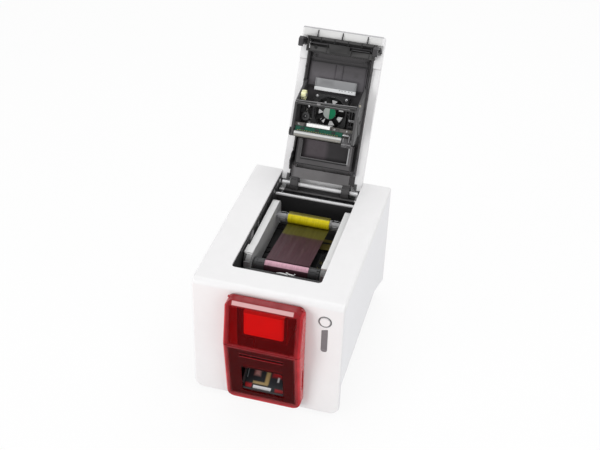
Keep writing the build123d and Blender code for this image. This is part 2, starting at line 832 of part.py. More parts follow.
# ================================================================== feeder
with BuildPart() as feeder_tray:
    tray_nose = stack_front + 1.5
    floor_low = card_path - feeder_floor_wall
    block(-guide_outer, guide_outer, tray_nose, feeder_back, floor_low, card_path)
    for side in (-1, 1):
        edge = sorted((side * guide_inner, side * guide_outer))
        block(edge[0], edge[1], tray_nose, feeder_back, card_path, stack_top + 0.5)
    roof = stack_top + 0.5
    block(-guide_outer, guide_outer, feeder_back - 2, feeder_back, card_path + 2.5, roof)
    block(-frame_inner, frame_inner, bay_front - 8, feeder_back + 1, roof, roof + feeder_roof_wall)
    # room for the latch hooks beside the feeder
    for side in (-1, 1):
        edge = sorted((side * (hook_near - 3), side * (frame_inner + 1)))
        block(edge[0], edge[1], bay_front + 10, feeder_back + 2, roof - 1, roof + 3, Mode.SUBTRACT)
    block(
        -pick_length / 2 - 1,
        pick_length / 2 + 1,
        pick_y - pick_radius - 1,
        pick_y + pick_radius + 1,
        floor_low - 1,
        card_path + 1,
        Mode.SUBTRACT,
    )
finish(feeder_tray, "feeder_tray")

with BuildPart() as card_stack:
    block(-stack_half_width, stack_half_width, stack_front, stack_back, card_path, stack_top)
    fillet(card_stack.edges().filter_by(Axis.Z), card_corner_radius)
finish(card_stack, "card_stack")

with BuildPart() as card_pusher:
    pusher_front = stack_front + 8
    pusher_back = bay_front - 10
    pusher_half = stack_half_width - 1
    pusher_middle = (pusher_front + pusher_back) / 2
    block(-pusher_half, pusher_half, pusher_front, pusher_back, stack_top, stack_top + 2)
    grip_half = pusher_half - 4
    block(-grip_half, grip_half, pusher_middle - 2, pusher_middle + 2, stack_top + 2, stack_top + 4.5)
    fillet(card_pusher.edges().filter_by(Axis.Z).group_by(Axis.X)[0], 1.5)
finish(card_pusher, "card_pusher")


# ============================================================ front module
cover_hinge_v = cover_top - cover_hinge_drop
upper_slope = (bulge_reach - bevel_reach) / (bevel_top - split_height)
lower_slope = (bulge_reach - hopper_reach) / (split_height - hopper_bottom)
upper_foot = split_height + split_gap / 2
lower_head = split_height - split_gap / 2


def cover_body(levels, inset, back, bottom, top, corner):
    """A solid over a few levels up the front, (height, reach), with rounded front edges
    and, seen from the front, rounded corners between two heights."""
    with BuildPart() as solid:
        for height, reach in levels:
            level = Plane(
                origin=front_plane.from_local_coords(Vector(0, height, 0)),
                x_dir=(1, 0, 0),
                z_dir=front_plane.y_dir,
            )
            with BuildSketch(level) as section:
                with Locations((0, -(reach - inset + back) / 2)):
                    Rectangle(2 * (module_half_width - inset), reach - inset - back)
                fillet(section.vertices().group_by(Axis.Y)[0], module_edge_radius - inset)
        loft(ruled=True)
        with BuildSketch(front_plane.offset(bulge_reach + 5)):
            with Locations((0, (bottom + top) / 2)):
                RectangleRounded(2 * (module_half_width - inset), top - bottom, corner)
        extrude(amount=-bulge_reach - 15, mode=Mode.INTERSECT)
    return solid.part


foot_reach = bulge_reach - upper_slope * split_gap / 2
outside = [(upper_foot, foot_reach), (bevel_top, bevel_reach), (cover_top, cover_flat)]
inside = [
    (upper_foot - 1, foot_reach + upper_slope),
    (bevel_top - 0.8, bevel_reach + 0.1),
    (cover_top - module_wall, cover_flat + 0.8),
]
below = upper_foot - 30
hollow_top = cover_top - module_wall
feeder_outside = cover_body(outside, 0, module_gap, below, cover_top, module_corner_radius)
feeder_inside = cover_body(inside, module_wall, -1, below, hollow_top, module_hollow_radius)

with BuildPart() as feeder_cover:
    add(feeder_outside)
    add(feeder_inside, mode=Mode.SUBTRACT)
    # the back of the top is rounded about the hinge
    clear_radius = cover_hinge_reach - module_gap
    with BuildSketch(front_section):
        with Locations((cover_hinge_reach - 4, cover_hinge_v + 4)):
            Rectangle(8, 8)
        with Locations((cover_hinge_reach, cover_hinge_v)):
            Circle(clear_radius, mode=Mode.SUBTRACT)
            Circle(cover_pin_radius + running_gap)
    extrude(amount=module_half_width + 1, both=True, mode=Mode.SUBTRACT)
finish(feeder_cover, "feeder_cover")

head_reach = bulge_reach - lower_slope * split_gap / 2
foot_and_head = [(hopper_bottom, hopper_reach), (lower_head, head_reach)]
past_head = [(hopper_bottom, hopper_reach), (lower_head + 1, head_reach)]
past, hollow_foot = lower_head + 30, hopper_bottom + module_wall
hopper_outside = cover_body(foot_and_head, 0, module_gap, hopper_bottom, past, module_corner_radius)
hopper_inside = cover_body(past_head, module_wall, -1, hollow_foot, past, module_hollow_radius)

with BuildPart() as hopper_cover:
    add(hopper_outside)
    add(hopper_inside, mode=Mode.SUBTRACT)
    with BuildSketch(front_plane.offset(hopper_reach - 8)):
        with Locations((0, (window_bottom + window_top) / 2)):
            RectangleRounded(2 * window_half_width, window_top - window_bottom, 3)
        with Locations((0, (slot_bottom + slot_top) / 2)):
            RectangleRounded(2 * slot_half_width, slot_top - slot_bottom, 2)
    extrude(amount=bulge_reach, mode=Mode.SUBTRACT)
    with BuildSketch(front_section):
        with Locations(((notch_near + notch_far) / 2, (notch_bottom + notch_top) / 2)):
            SlotOverall(notch_top - notch_bottom, notch_far - notch_near, rotation=90)
    extrude(amount=module_half_width + 1, both=True, mode=Mode.SUBTRACT)
finish(hopper_cover, "hopper_cover")

hopper_plane = Plane(
    origin=(0, case_front - hopper_reach + hopper_card_inset, hopper_card_height),
    x_dir=(1, 0, 0),
    z_dir=(0, -sin(radians(hopper_tilt)), cos(radians(hopper_tilt))),
)


def under_hopper(y):
    """Height of the hopper tray's underside at a depth."""
    run = y - hopper_plane.origin.Y
    return hopper_plane.origin.Z + run * tan(radians(hopper_tilt)) - hopper_wall / cos(radians(hopper_tilt))


with BuildPart() as hopper_tray:
    hopper_half = stack_half_width + hopper_side
    with Locations(hopper_plane.location):
        block(-hopper_half, hopper_half, -hopper_wall, card_length + 3, -hopper_wall, 0)
        mirrored_blocks(stack_half_width + 1.5, hopper_half, 5, card_length + 3, 0, 7)
        block(-hopper_half, hopper_half, -hopper_wall, 0, 0, 3)
    # foot on the base tray
    foot_from = tray_front + tray_wall + 4
    foot_to = foot_from + 22
    with BuildSketch(Plane.YZ):
        with BuildLine():
            Polyline(
                (foot_from, base_floor),
                (foot_to, base_floor),
                (foot_to, under_hopper(foot_to)),
                (foot_from, under_hopper(foot_from)),
                close=True,
            )
        make_face()
    extrude(amount=hopper_half, both=True)
    hollow_half, hollow_top = hopper_half - 2, under_hopper(foot_from) - 2
    block(-hollow_half, hollow_half, foot_from - 1, foot_to + 1, base_floor - 1, hollow_top, Mode.SUBTRACT)
finish(hopper_tray, "hopper_tray")

with BuildPart(hopper_plane) as printed_card:
    block(-stack_half_width, stack_half_width, 0, card_length, 0, card_thickness)
    corners = printed_card.edges().filter_by(lambda e: abs(e.length - card_thickness) < 0.01)
    fillet(corners, card_corner_radius)
finish(printed_card, "printed_card")

with BuildPart(front_plane) as button_ring:
    with Locations((button_x, button_height, -1.25)):
        Cylinder(button_ring_radius, 3.5)
        Cylinder(button_radius + button_gap, 3.5, mode=Mode.SUBTRACT)
finish(button_ring, "button_ring")

with BuildPart(front_plane) as control_button:
    with Locations((button_x, button_height, -1.6)):
        Cylinder(button_radius, 4.8)
    fillet(control_button.edges().sort_by(Axis.Y)[0], 0.8)
finish(control_button, "control_button")

with BuildPart(front_plane) as status_light:
    with BuildSketch(front_plane.offset(0.2)):
        add(light_outline)
    extrude(amount=-(case_wall + 0.2))
finish(status_light, "status_light")

with BuildPart(front_plane) as control_board:
    board_back = -4.0 - button_travel_room
    block(light_x - 11, light_x + 12, light_bottom - 6, button_height + 12, board_back - 1.6, board_back)
    # stands on the back of the front wall and carries the light and the switch
    for height in (light_bottom - 3, button_height + 10.5):
        with Locations((light_x - 8, height, (board_back - case_wall) / 2)):
            Cylinder(1.8, -case_wall - board_back)
    block(light_x - 2.5, light_x + 2.5, light_bottom + 8, light_top - 8, board_back, -case_wall - 0.3)
finish(control_board, "control_board")

# =============================================================== cartridge
def rail_outline(inset):
    """Side outline of a cartridge rail."""
    with Locations(((rail_front + rail_back) / 2, (rail_bottom + rail_top) / 2)):
        RectangleRounded(
            rail_back - rail_front - 2 * inset, rail_top - rail_bottom - 2 * inset, rail_end_radius - inset
        )


with BuildPart() as cartridge_frame:
    for side in (-1, 1):
        near, far = sorted((side * rail_inner, side * rail_outer))
        hollow = near + rail_wall if side > 0 else near
        with BuildSketch(axle_plane(near, 0, 0)):
            rail_outline(0)
        extrude(amount=far - near)
        with BuildSketch(axle_plane(hollow, 0, 0)):
            rail_outline(rail_wall)
        extrude(amount=far - near - rail_wall, mode=Mode.SUBTRACT)
        ends = sorted((side * rail_inner, side * (rail_inner + 5)))
        for y, z in ((supply_y, supply_z), (takeup_y, takeup_z)):
            rod(ends[0], ends[1], y, z, rail_boss_radius)
            rod(ends[0] - 1, ends[1] + 1, y, z, spool_axle_radius + running_gap, Mode.SUBTRACT)
    # front bar with its hand grip, rear bar
    bar_end = rail_inner + rail_wall + 4
    bar_foot, bar_head = rail_bottom + 9.5, rail_bottom + 21.5
    block(-bar_end, bar_end, rail_front - 6, rail_front, bar_foot, bar_head)
    block(-rail_inner, rail_inner, rail_front, rail_front + 2, bar_foot, bar_head)
    with BuildSketch(Plane.XZ.offset(6 - rail_front)):
        with Locations((-2, bar_head + grip_rise - grip_radius)):
            Circle(grip_radius)
        with Locations((-2, bar_head - grip_radius)):
            Rectangle(3 * grip_radius, 2 * grip_radius, mode=Mode.SUBTRACT)
    extrude(amount=-4)
    rear_half, rear_foot_z = rail_inner + 1, rail_bottom + 2.5
    block(-rear_half, rear_half, rail_back - 8, rail_back - 3, rear_foot_z, rear_foot_z + 7)
finish(cartridge_frame, "cartridge_frame")


def spool(y, z, core_radius, drum_half):
    """A ribbon spool: its axles and its drum."""
    rod(-rail_inner - 4.5, rail_inner + 4.5, y, z, spool_axle_radius)
    rod(-drum_half, drum_half, y, z, core_radius)


with BuildPart() as supply_spool:
    spool(supply_y, supply_z, 3.6, spool_half_length)
    rod(-film_width / 2 - 1.5, film_width / 2 + 1.5, supply_y, supply_z, supply_core_radius)
finish(supply_spool, "supply_spool")

with BuildPart() as supply_ribbon:
    rod(-film_width / 2, film_width / 2, supply_y, supply_z, supply_roll_radius)
    rod(-film_width, film_width, supply_y, supply_z, supply_core_radius, Mode.SUBTRACT)
finish(supply_ribbon, "supply_ribbon")

with BuildPart() as takeup_spool:
    spool(takeup_y, takeup_z, takeup_core_radius, spool_half_length)
    with BuildSketch(axle_plane(spool_half_length, takeup_y, takeup_z)):
        with PolarLocations(takeup_core_radius, 10):
            Circle(0.9)
    extrude(amount=-4, mode=Mode.SUBTRACT)
finish(takeup_spool, "takeup_spool")

with BuildPart() as takeup_ribbon:
    rod(-film_width / 2, film_width / 2, takeup_y, takeup_z, takeup_roll_radius)
    rod(-film_width, film_width, takeup_y, takeup_z, takeup_core_radius, Mode.SUBTRACT)
finish(takeup_ribbon, "takeup_ribbon")

# the film runs from under the supply roll to the top of the take-up roll
span_y = takeup_y - supply_y
span_z = takeup_z - supply_z
near_radius = supply_roll_radius + moving_gap
far_radius = takeup_roll_radius + moving_gap
climb = asin((near_radius + far_radius) / hypot(span_y, span_z))
heading = atan2(span_z, span_y) - climb
normal = (sin(heading), -cos(heading))
film_from = (supply_y - near_radius * normal[0], supply_z - near_radius * normal[1])
film_to = (takeup_y + far_radius * normal[0], takeup_z + far_radius * normal[1])

with BuildPart() as ribbon_film:
    with BuildSketch(Plane.YZ):
        with BuildLine():
            Polyline(
                film_from,
                film_to,
                (film_to[0] + film_thickness * normal[0], film_to[1] + film_thickness * normal[1]),
                (film_from[0] + film_thickness * normal[0], film_from[1] + film_thickness * normal[1]),
                close=True,
            )
        make_face()
    extrude(amount=film_width / 2, both=True)
finish(ribbon_film, "ribbon_film")

# ===================================================================== lid
with BuildPart() as lid_shell:
    with BuildSketch(lid_section):
        with BuildLine():
            outer_tail = CenterArc((0, 0), hinge_drop, 0, 90)
            Polyline(
                outer_tail @ 1,
                (-lid_length, hinge_drop),
                (-lid_length, hinge_drop - lid_lip_depth),
                (-lid_length + lid_ledge_run, hinge_drop - lid_lip_depth),
                (-lid_length + lid_ledge_run, hinge_drop - lid_wall),
                (0, hinge_drop - lid_wall),
            )
            inner_tail = CenterArc((0, 0), hinge_drop - lid_wall, 90, -90)
            Line(inner_tail @ 1, outer_tail @ 0)
        make_face()
    extrude(amount=lid_half_width, both=True)
    nose = lid_shell.faces().filter_by(lambda f: f.is_planar).sort_by(
        lambda f: (f.center() - lid_plane.origin).dot(lid_plane.y_dir)
    )[0]
    fillet(nose.edges().filter_by(lambda e: e.bounding_box().size.X < 0.01), lid_corner_radius)
    rim_inner = lid_half_width - rim_width
    with Locations(lid_plane.location):
        lid_blocks(rim_inner, lid_half_width, 5, rim_step_at, lid_wall, rim_depth_rear)
        lid_blocks(rim_inner, lid_half_width, rim_step_at, front_of_rim, lid_wall, rim_depth_front)
finish(lid_shell, "lid_shell")

with BuildPart(lid_plane) as lid_inner_frame:
    lid_block(-inner_half, inner_half, inner_back, inner_front, backing_near, backing_far)
    # see-through opening behind the fan
    with Locations((0, -fan_s, hinge_drop - backing_near)):
        Cylinder(fan_bore, 10, mode=Mode.SUBTRACT)
    lid_blocks(cheek_outer + part_gap, inner_half, strip_back, inner_front, backing_far, side_strip_t)
    # deep block behind the print head with its recess, lower and upper panels
    block_half, recess_half = cheek_inner - 1, cheek_inner - 7.7
    lid_block(-block_half, block_half, block_back, head_s - 12, backing_far, block_t)
    lid_block(-recess_half, recess_half, recess_back, head_s - 11, side_strip_t, block_t + 1, Mode.SUBTRACT)
    lid_block(-block_half, block_half, inner_back, strip_back, backing_far, block_t - 4.5)
    panel_edge, step_at = cheek_inner - part_gap, inner_front - upper_panel_step
    lid_block(-panel_edge, panel_edge, upper_panel_start, step_at, backing_far, upper_panel_t)
    lid_block(-panel_edge, panel_edge, step_at, inner_front, backing_far, upper_panel_t - 1.2)
    # lugs on the hinge shaft
    for side in (-1, 1):
        edge = sorted((side * lug_inner, side * lug_outer))
        rod(edge[0], edge[1], 0, 0, lug_radius)
        lid_block(edge[0], edge[1], 0, 12, hinge_drop - 5, hinge_drop + 5)
    rod(-bay_width, bay_width, 0, 0, hinge_shaft_radius + running_gap, Mode.SUBTRACT)
finish(lid_inner_frame, "lid_inner_frame")

with BuildPart(lid_plane) as lid_front_bar:
    step_t = rim_depth_front + 0.4
    lid_block(-inner_half, inner_half, bar_back, bar_front, bar_near, step_t)
    lid_block(-bar_half, bar_half, bar_back, bar_front, step_t, bar_far)
    groove_half = bar_half - 4
    lid_block(-groove_half, groove_half, latch_s - 5, latch_s + 5, latch_t - 4, bar_far + 1, Mode.SUBTRACT)
    lid_block(-15.3, 15.3, bar_back, latch_s - 5, bar_far, bar_far + 1.2)
    lid_rod(-bay_width, bay_width, latch_s, latch_t, latch_radius + running_gap, Mode.SUBTRACT)
    lid_block(-block_half, block_half, bar_back, bar_front, lid_wall, bar_near)
finish(lid_front_bar, "lid_front_bar")

with BuildPart() as latch_bar:
    for side in (-1, 1):
        near, far = sorted((side * hook_near, side * hook_far))
        with BuildSketch(lid_section.offset(near)):
            with BuildLine():
                Polyline(
                    (-latch_s + 4, hinge_drop - latch_t),
                    (-latch_s + 3.8, hinge_drop - catch_t - 3.5),
                    (-catch_s - 2.6, hinge_drop - catch_t - 4.5),
                    (-catch_s - 3.4, hinge_drop - catch_t - 8.9),
                    (-latch_s - 2, hinge_drop - catch_t - 10),
                    (-latch_s - 6, hinge_drop - catch_t - 3.5),
                    (-latch_s - 4.2, hinge_drop - latch_t),
                    close=True,
                )
            make_face()
            with Locations((-latch_s, hinge_drop - latch_t)):
                Circle(hook_eye_radius)
            with Locations((-latch_s - 0.4, hinge_drop - latch_t - 14)):
                SlotOverall(17, 4.6, rotation=90, mode=Mode.SUBTRACT)
        extrude(amount=far - near)
    with Locations(lid_plane.location):
        lid_rod(-latch_half, latch_half, latch_s, latch_t, latch_radius)
finish(latch_bar, "latch_bar")

cradle_t = head_t - 1.3
bridge_s = head_s + 38  # cross bar behind the head

with BuildPart() as head_cradle:
    for side in (-1, 1):
        near, far = sorted((side * cheek_inner, side * cheek_outer))
        with BuildSketch(lid_section.offset(near)):
            with BuildLine():
                Polyline(
                    (-head_s - 6, hinge_drop - backing_far),
                    (-head_s - 6, hinge_drop - cradle_t + 25),
                    (-head_s + 8, hinge_drop - cradle_t + 9),
                    (-head_s + 8, hinge_drop - cradle_t),
                    (-bridge_s - 2, hinge_drop - cradle_t),
                    (-bridge_s - 34, hinge_drop - backing_far - 9.5),
                    (-bridge_s - 36, hinge_drop - backing_far),
                    close=True,
                )
            make_face()
            with Locations((-wheel_s, hinge_drop - wheel_t), (-pivot_s, hinge_drop - pivot_t)):
                Circle(pin_radius + running_gap, mode=Mode.SUBTRACT)
        extrude(amount=far - near)
    with Locations(lid_plane.location):
        lid_block(-cheek_inner, cheek_inner, bridge_s, bridge_s + 6, cradle_t - 5, cradle_t)
        with Locations((0, -bridge_s - 3, hinge_drop - cradle_t)):
            Box(2 * cheek_inner - 2, 1.6, 2.4, mode=Mode.SUBTRACT)
        lid_block(-cheek_inner, cheek_inner, bridge_s, bridge_s + 1.5, cradle_t - 11, cradle_t - 5)
finish(head_cradle, "head_cradle")

with BuildPart(lid_plane) as sensor_plate:
    plate_half, plate_back, plate_t = film_width / 2, upper_panel_start - 4.5, upper_panel_t + 4
    lid_block(-plate_half, plate_half, plate_back, plate_back + 17.5, plate_t, plate_t + 1.6)
    lid_block(-plate_half, plate_half, plate_back, plate_back + 4.5, plate_t + 1.6, plate_t + 2.6)
    lid_blocks(plate_half - 2.2, plate_half, plate_back + 5.5, plate_back + 15.5, upper_panel_t, plate_t)
finish(sensor_plate, "sensor_plate")

with BuildPart(lid_plane) as release_wheel:
    wheel_near = -cheek_inner + moving_gap
    wheel_far = wheel_near + wheel_width
    lid_rod(wheel_near, wheel_far, wheel_s, wheel_t, wheel_radius)
    lid_rod(-cheek_outer, wheel_far, wheel_s, wheel_t, pin_radius)
    with Locations(Location((wheel_far, -wheel_s, hinge_drop - wheel_t), (0, 90, 0))):
        with PolarLocations(wheel_radius, 8):
            Cylinder(1.3, 20, mode=Mode.SUBTRACT)
finish(release_wheel, "release_wheel")

with BuildPart(lid_plane) as fan_frame:
    lid_block(-fan_half, fan_half, fan_s - fan_half, fan_s + fan_half, fan_near, fan_far)
    fillet(fan_frame.edges().filter_by(lambda e: abs(e.length - fan_far + fan_near) < 0.01), 3)
    with Locations((0, -fan_s, hinge_drop - (fan_near + fan_far) / 2)):
        Cylinder(fan_bore, fan_far - fan_near, mode=Mode.SUBTRACT)
    # motor seat on four struts, at the skin side
    with Locations((0, -fan_s, hinge_drop - fan_near - fan_plate / 2)):
        Cylinder(fan_hub_radius, fan_plate)
        for angle in (0, 90, 180, 270):
            with Locations(Rotation(0, 0, angle + 45)):
                with Locations(((fan_hub_radius + fan_bore) / 2 + 0.5, 0, 0)):
                    Box(fan_bore - fan_hub_radius + 3, 2.4, fan_plate)
    # posts that stand on the backing
    with Locations((0, -fan_s, hinge_drop - (backing_far + fan_near) / 2)):
        with GridLocations(2 * (fan_half - 4.5), 2 * (fan_half - 4.5), 2, 2):
            Cylinder(3, fan_near - backing_far)
finish(fan_frame, "fan_frame")

with BuildPart(lid_plane) as fan_rotor:
    rotor_near = fan_near + fan_plate + moving_gap
    with Locations((0, -fan_s, hinge_drop - (rotor_near + fan_far) / 2)):
        Cylinder(fan_hub_radius, fan_far - rotor_near)
        for i in range(fan_blades):
            with Locations(Rotation(0, 0, 360 / fan_blades * i)):
                with Locations(Location(((fan_hub_radius + fan_blade_radius) / 2 - 0.5, 0, 0), (38, 0, 0))):
                    Box(fan_blade_radius - fan_hub_radius + 1, 9.5, 1.0)
finish(fan_rotor, "fan_rotor")

carrier_t = head_t - 7.3

with BuildPart(lid_plane) as head_carrier:
    lid_block(-cheek_inner, cheek_inner, head_s, head_s + 12, carrier_t - 11, carrier_t)
    trough = cheek_inner - 2
    lid_block(-trough, trough, head_s + 2, head_s + 10, carrier_t - 13, carrier_t - 3, Mode.SUBTRACT)
    lid_blocks(cheek_inner - 8.5, cheek_inner, head_s - 4, head_s, carrier_t - 11, carrier_t - 1.5)
finish(head_carrier, "head_carrier")

head_left = -cheek_inner + 1.5

with BuildPart(lid_plane) as head_board:
    lid_block(head_left, head_right, head_s + part_gap, head_s + 7, carrier_t, carrier_t + 2)
finish(head_board, "head_board")

with BuildPart(lid_plane) as print_head:
    lid_block(head_left, head_right, head_s - 8, head_s, head_t - 6.3, head_t)
    lid_block(head_left + 8, head_right - 2, head_s - 4, head_s, head_t - 10.3, head_t - 6.3)
    chamfer(print_head.edges().filter_by(Axis.X).sort_by(Axis.Y)[0:2], 1)
finish(print_head, "print_head")

with BuildPart(lid_plane) as head_lever:
    lever_near, lever_far = head_right + 1, cheek_inner - 1
    lid_block(lever_near, lever_far, head_s - 12, head_s - part_gap, head_t - 6.7, head_t - 2.3)
    lid_block(lever_near + 4, lever_far, head_s - 13.5, head_s - 8, head_t - 10.3, head_t - 6.7)
    lid_rod(lever_near, cheek_outer, pivot_s, pivot_t, pin_radius)
finish(head_lever, "head_lever")

with BuildPart(lid_plane) as head_knob:
    knob_near = -cheek_outer - moving_gap
    lid_rod(-cheek_outer - 1, -cheek_inner, pivot_s, pivot_t, pin_radius)
    lid_rod(knob_near - knob_width, knob_near, pivot_s, pivot_t, knob_radius)
    with Locations(Location((knob_near - knob_width / 2, -pivot_s, hinge_drop - pivot_t), (0, 90, 0))):
        with PolarLocations(knob_radius, 10):
            Cylinder(0.7, 2 * knob_width, mode=Mode.SUBTRACT)
finish(head_knob, "head_knob")

with BuildPart(lid_plane) as head_cable:
    cable_wall, cable_end = 0.6, head_s + 12
    cable_left, cable_right = head_left + 15.5, head_right - 19.5
    cable_t = carrier_t + cable_wall
    lid_block(cable_left, cable_right, head_s + 8, cable_end, carrier_t, cable_t)
    lid_block(cable_left, cable_right, cable_end, cable_end + cable_wall, fan_far + 1, cable_t)
finish(head_cable, "head_cable")
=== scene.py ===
import math
import random

import bmesh
import bpy
from mathutils import Matrix, Vector


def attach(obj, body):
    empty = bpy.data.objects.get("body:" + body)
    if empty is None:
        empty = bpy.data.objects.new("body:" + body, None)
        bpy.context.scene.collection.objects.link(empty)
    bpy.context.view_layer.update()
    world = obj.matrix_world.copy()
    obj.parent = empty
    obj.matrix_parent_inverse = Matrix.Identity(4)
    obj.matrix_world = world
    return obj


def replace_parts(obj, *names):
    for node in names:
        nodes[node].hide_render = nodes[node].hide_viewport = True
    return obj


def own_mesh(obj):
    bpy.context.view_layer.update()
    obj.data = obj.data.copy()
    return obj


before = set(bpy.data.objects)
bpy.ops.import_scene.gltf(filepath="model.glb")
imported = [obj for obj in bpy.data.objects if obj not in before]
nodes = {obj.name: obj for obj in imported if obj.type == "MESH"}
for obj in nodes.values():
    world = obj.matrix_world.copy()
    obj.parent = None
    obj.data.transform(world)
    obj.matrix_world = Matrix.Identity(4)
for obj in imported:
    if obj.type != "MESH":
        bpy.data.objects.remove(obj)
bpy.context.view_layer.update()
random.seed(7)

MM = 0.001
FAR = 900.0  # past the object on any side
OPEN = math.radians(118.5)
LEAN = math.atan2(2.6, 189.0)


def axes(origin, x, y, z):
    """A matrix from local millimetres to metres."""
    m = Matrix((x, y, z)).transposed().to_4x4()
    return Matrix.Scale(MM, 4) @ Matrix.Translation(origin) @ m


WORLD = Matrix.Scale(MM, 4)
# lid: x right, y from the hinge to the lid's front, z from its skin inwards
LID_DOWN = Vector((0, -math.sin(OPEN), -math.cos(OPEN)))
LID_ALONG = Vector((0, -math.cos(OPEN), math.sin(OPEN)))
LID = axes(Vector((0, 128.0, 183.0)) - 12.0 * LID_DOWN, Vector((1, 0, 0)), LID_ALONG, LID_DOWN)
# front: x right, y up the front, z out of it
FRONT = axes(
    Vector((0, -142.5 + 195.0 * math.tan(LEAN), 0)),
    Vector((1, 0, 0)),
    Vector((0, -math.sin(LEAN), math.cos(LEAN))),
    Vector((0, -math.cos(LEAN), -math.sin(LEAN))),
)
# the card in the hopper: x right, y up along the card, z out of its face
TILT = math.radians(35)
HOPPER = axes(
    Vector((0, -151.5, 33)),
    Vector((1, 0, 0)),
    Vector((0, math.cos(TILT), math.sin(TILT))),
    Vector((0, -math.sin(TILT), math.cos(TILT))),
)


def extent(name, place=WORLD):
    """The lowest and highest corners of a CAD node, in a local frame's millimetres."""
    inward = place.inverted()
    corners = [inward @ v.co for v in nodes[name].data.vertices]
    low = Vector(min(c[i] for c in corners) for i in range(3))
    high = Vector(max(c[i] for c in corners) for i in range(3))
    return low, high


# ------------------------------------------------------------------ materials
def new_material(name):
    m = bpy.data.materials.new(name)
    m.use_nodes = True
    tree = m.node_tree
    tree.nodes.clear()
    out = tree.nodes.new("ShaderNodeOutputMaterial")
    return m, tree, out


def node(tree, kind, **inputs):
    n = tree.nodes.new(kind)
    for key, value in inputs.items():
        n.inputs[key.replace("_", " ")].default_value = value
    return n


def math_node(tree, operation, *values):
    """A Math node whose inputs are sockets or numbers."""
    n = tree.nodes.new("ShaderNodeMath")
    n.operation = operation
    for i, value in enumerate(values):
        if isinstance(value, (int, float)):
            n.inputs[i].default_value = value
        else:
            tree.links.new(value, n.inputs[i])
    return n.outputs[0]


def vector_node(tree, operation, *values):
    n = tree.nodes.new("ShaderNodeVectorMath")
    n.operation = operation
    for i, value in enumerate(values):
        if isinstance(value, (tuple, list, Vector)):
            n.inputs[i].default_value = value
        else:
            tree.links.new(value, n.inputs[i])
    return n.outputs[0]


def local(tree, place):
    """Object coordinates turned into a local frame's millimetres."""
    where = tree.nodes.new("ShaderNodeTexCoord")
    shift, turn, size = place.inverted().decompose()
    m = node(tree, "ShaderNodeMapping", Location=shift, Rotation=turn.to_euler(), Scale=size)
    tree.links.new(where.outputs["Object"], m.inputs[0])
    return m.outputs[0]


def within(tree, where, low, high, soft=0.15):
    """1 inside the box from low to high, 0 outside it."""
    middle = [(a + b) / 2 for a, b in zip(low, high)]
    half = [(b - a) / 2 for a, b in zip(low, high)]
    off = vector_node(tree, "ABSOLUTE", vector_node(tree, "SUBTRACT", where, middle))
    over = vector_node(tree, "SUBTRACT", off, half)
    parts = tree.nodes.new("ShaderNodeSeparateXYZ")
    tree.links.new(over, parts.inputs[0])
    most = math_node(tree, "MAXIMUM", parts.outputs[0], parts.outputs[1])
    most = math_node(tree, "MAXIMUM", most, parts.outputs[2])
    ramp = tree.nodes.new("ShaderNodeMapRange")
    tree.links.new(most, ramp.inputs[0])
    for key, value in (("From Min", -soft), ("From Max", soft), ("To Min", 1), ("To Max", 0)):
        ramp.inputs[key].default_value = value
    return ramp.outputs[0]


def mix_colour(tree, factor, under, over):
    n = tree.nodes.new("ShaderNodeMix")
    n.data_type = "RGBA"
    tree.links.new(factor, n.inputs[0])
    for socket, value in ((n.inputs[6], under), (n.inputs[7], over)):
        if isinstance(value, (tuple, list)):
            socket.default_value = (*value[:3], 1)
        else:
            tree.links.new(value, socket)
    return n.outputs[2]


def mix_number(tree, factor, under, over):
    n = tree.nodes.new("ShaderNodeMix")
    n.data_type = "FLOAT"
    tree.links.new(factor, n.inputs[0])
    for socket, value in ((n.inputs[2], under), (n.inputs[3], over)):
        if isinstance(value, (int, float)):
            socket.default_value = value
        else:
            tree.links.new(value, socket)
    return n.outputs[0]


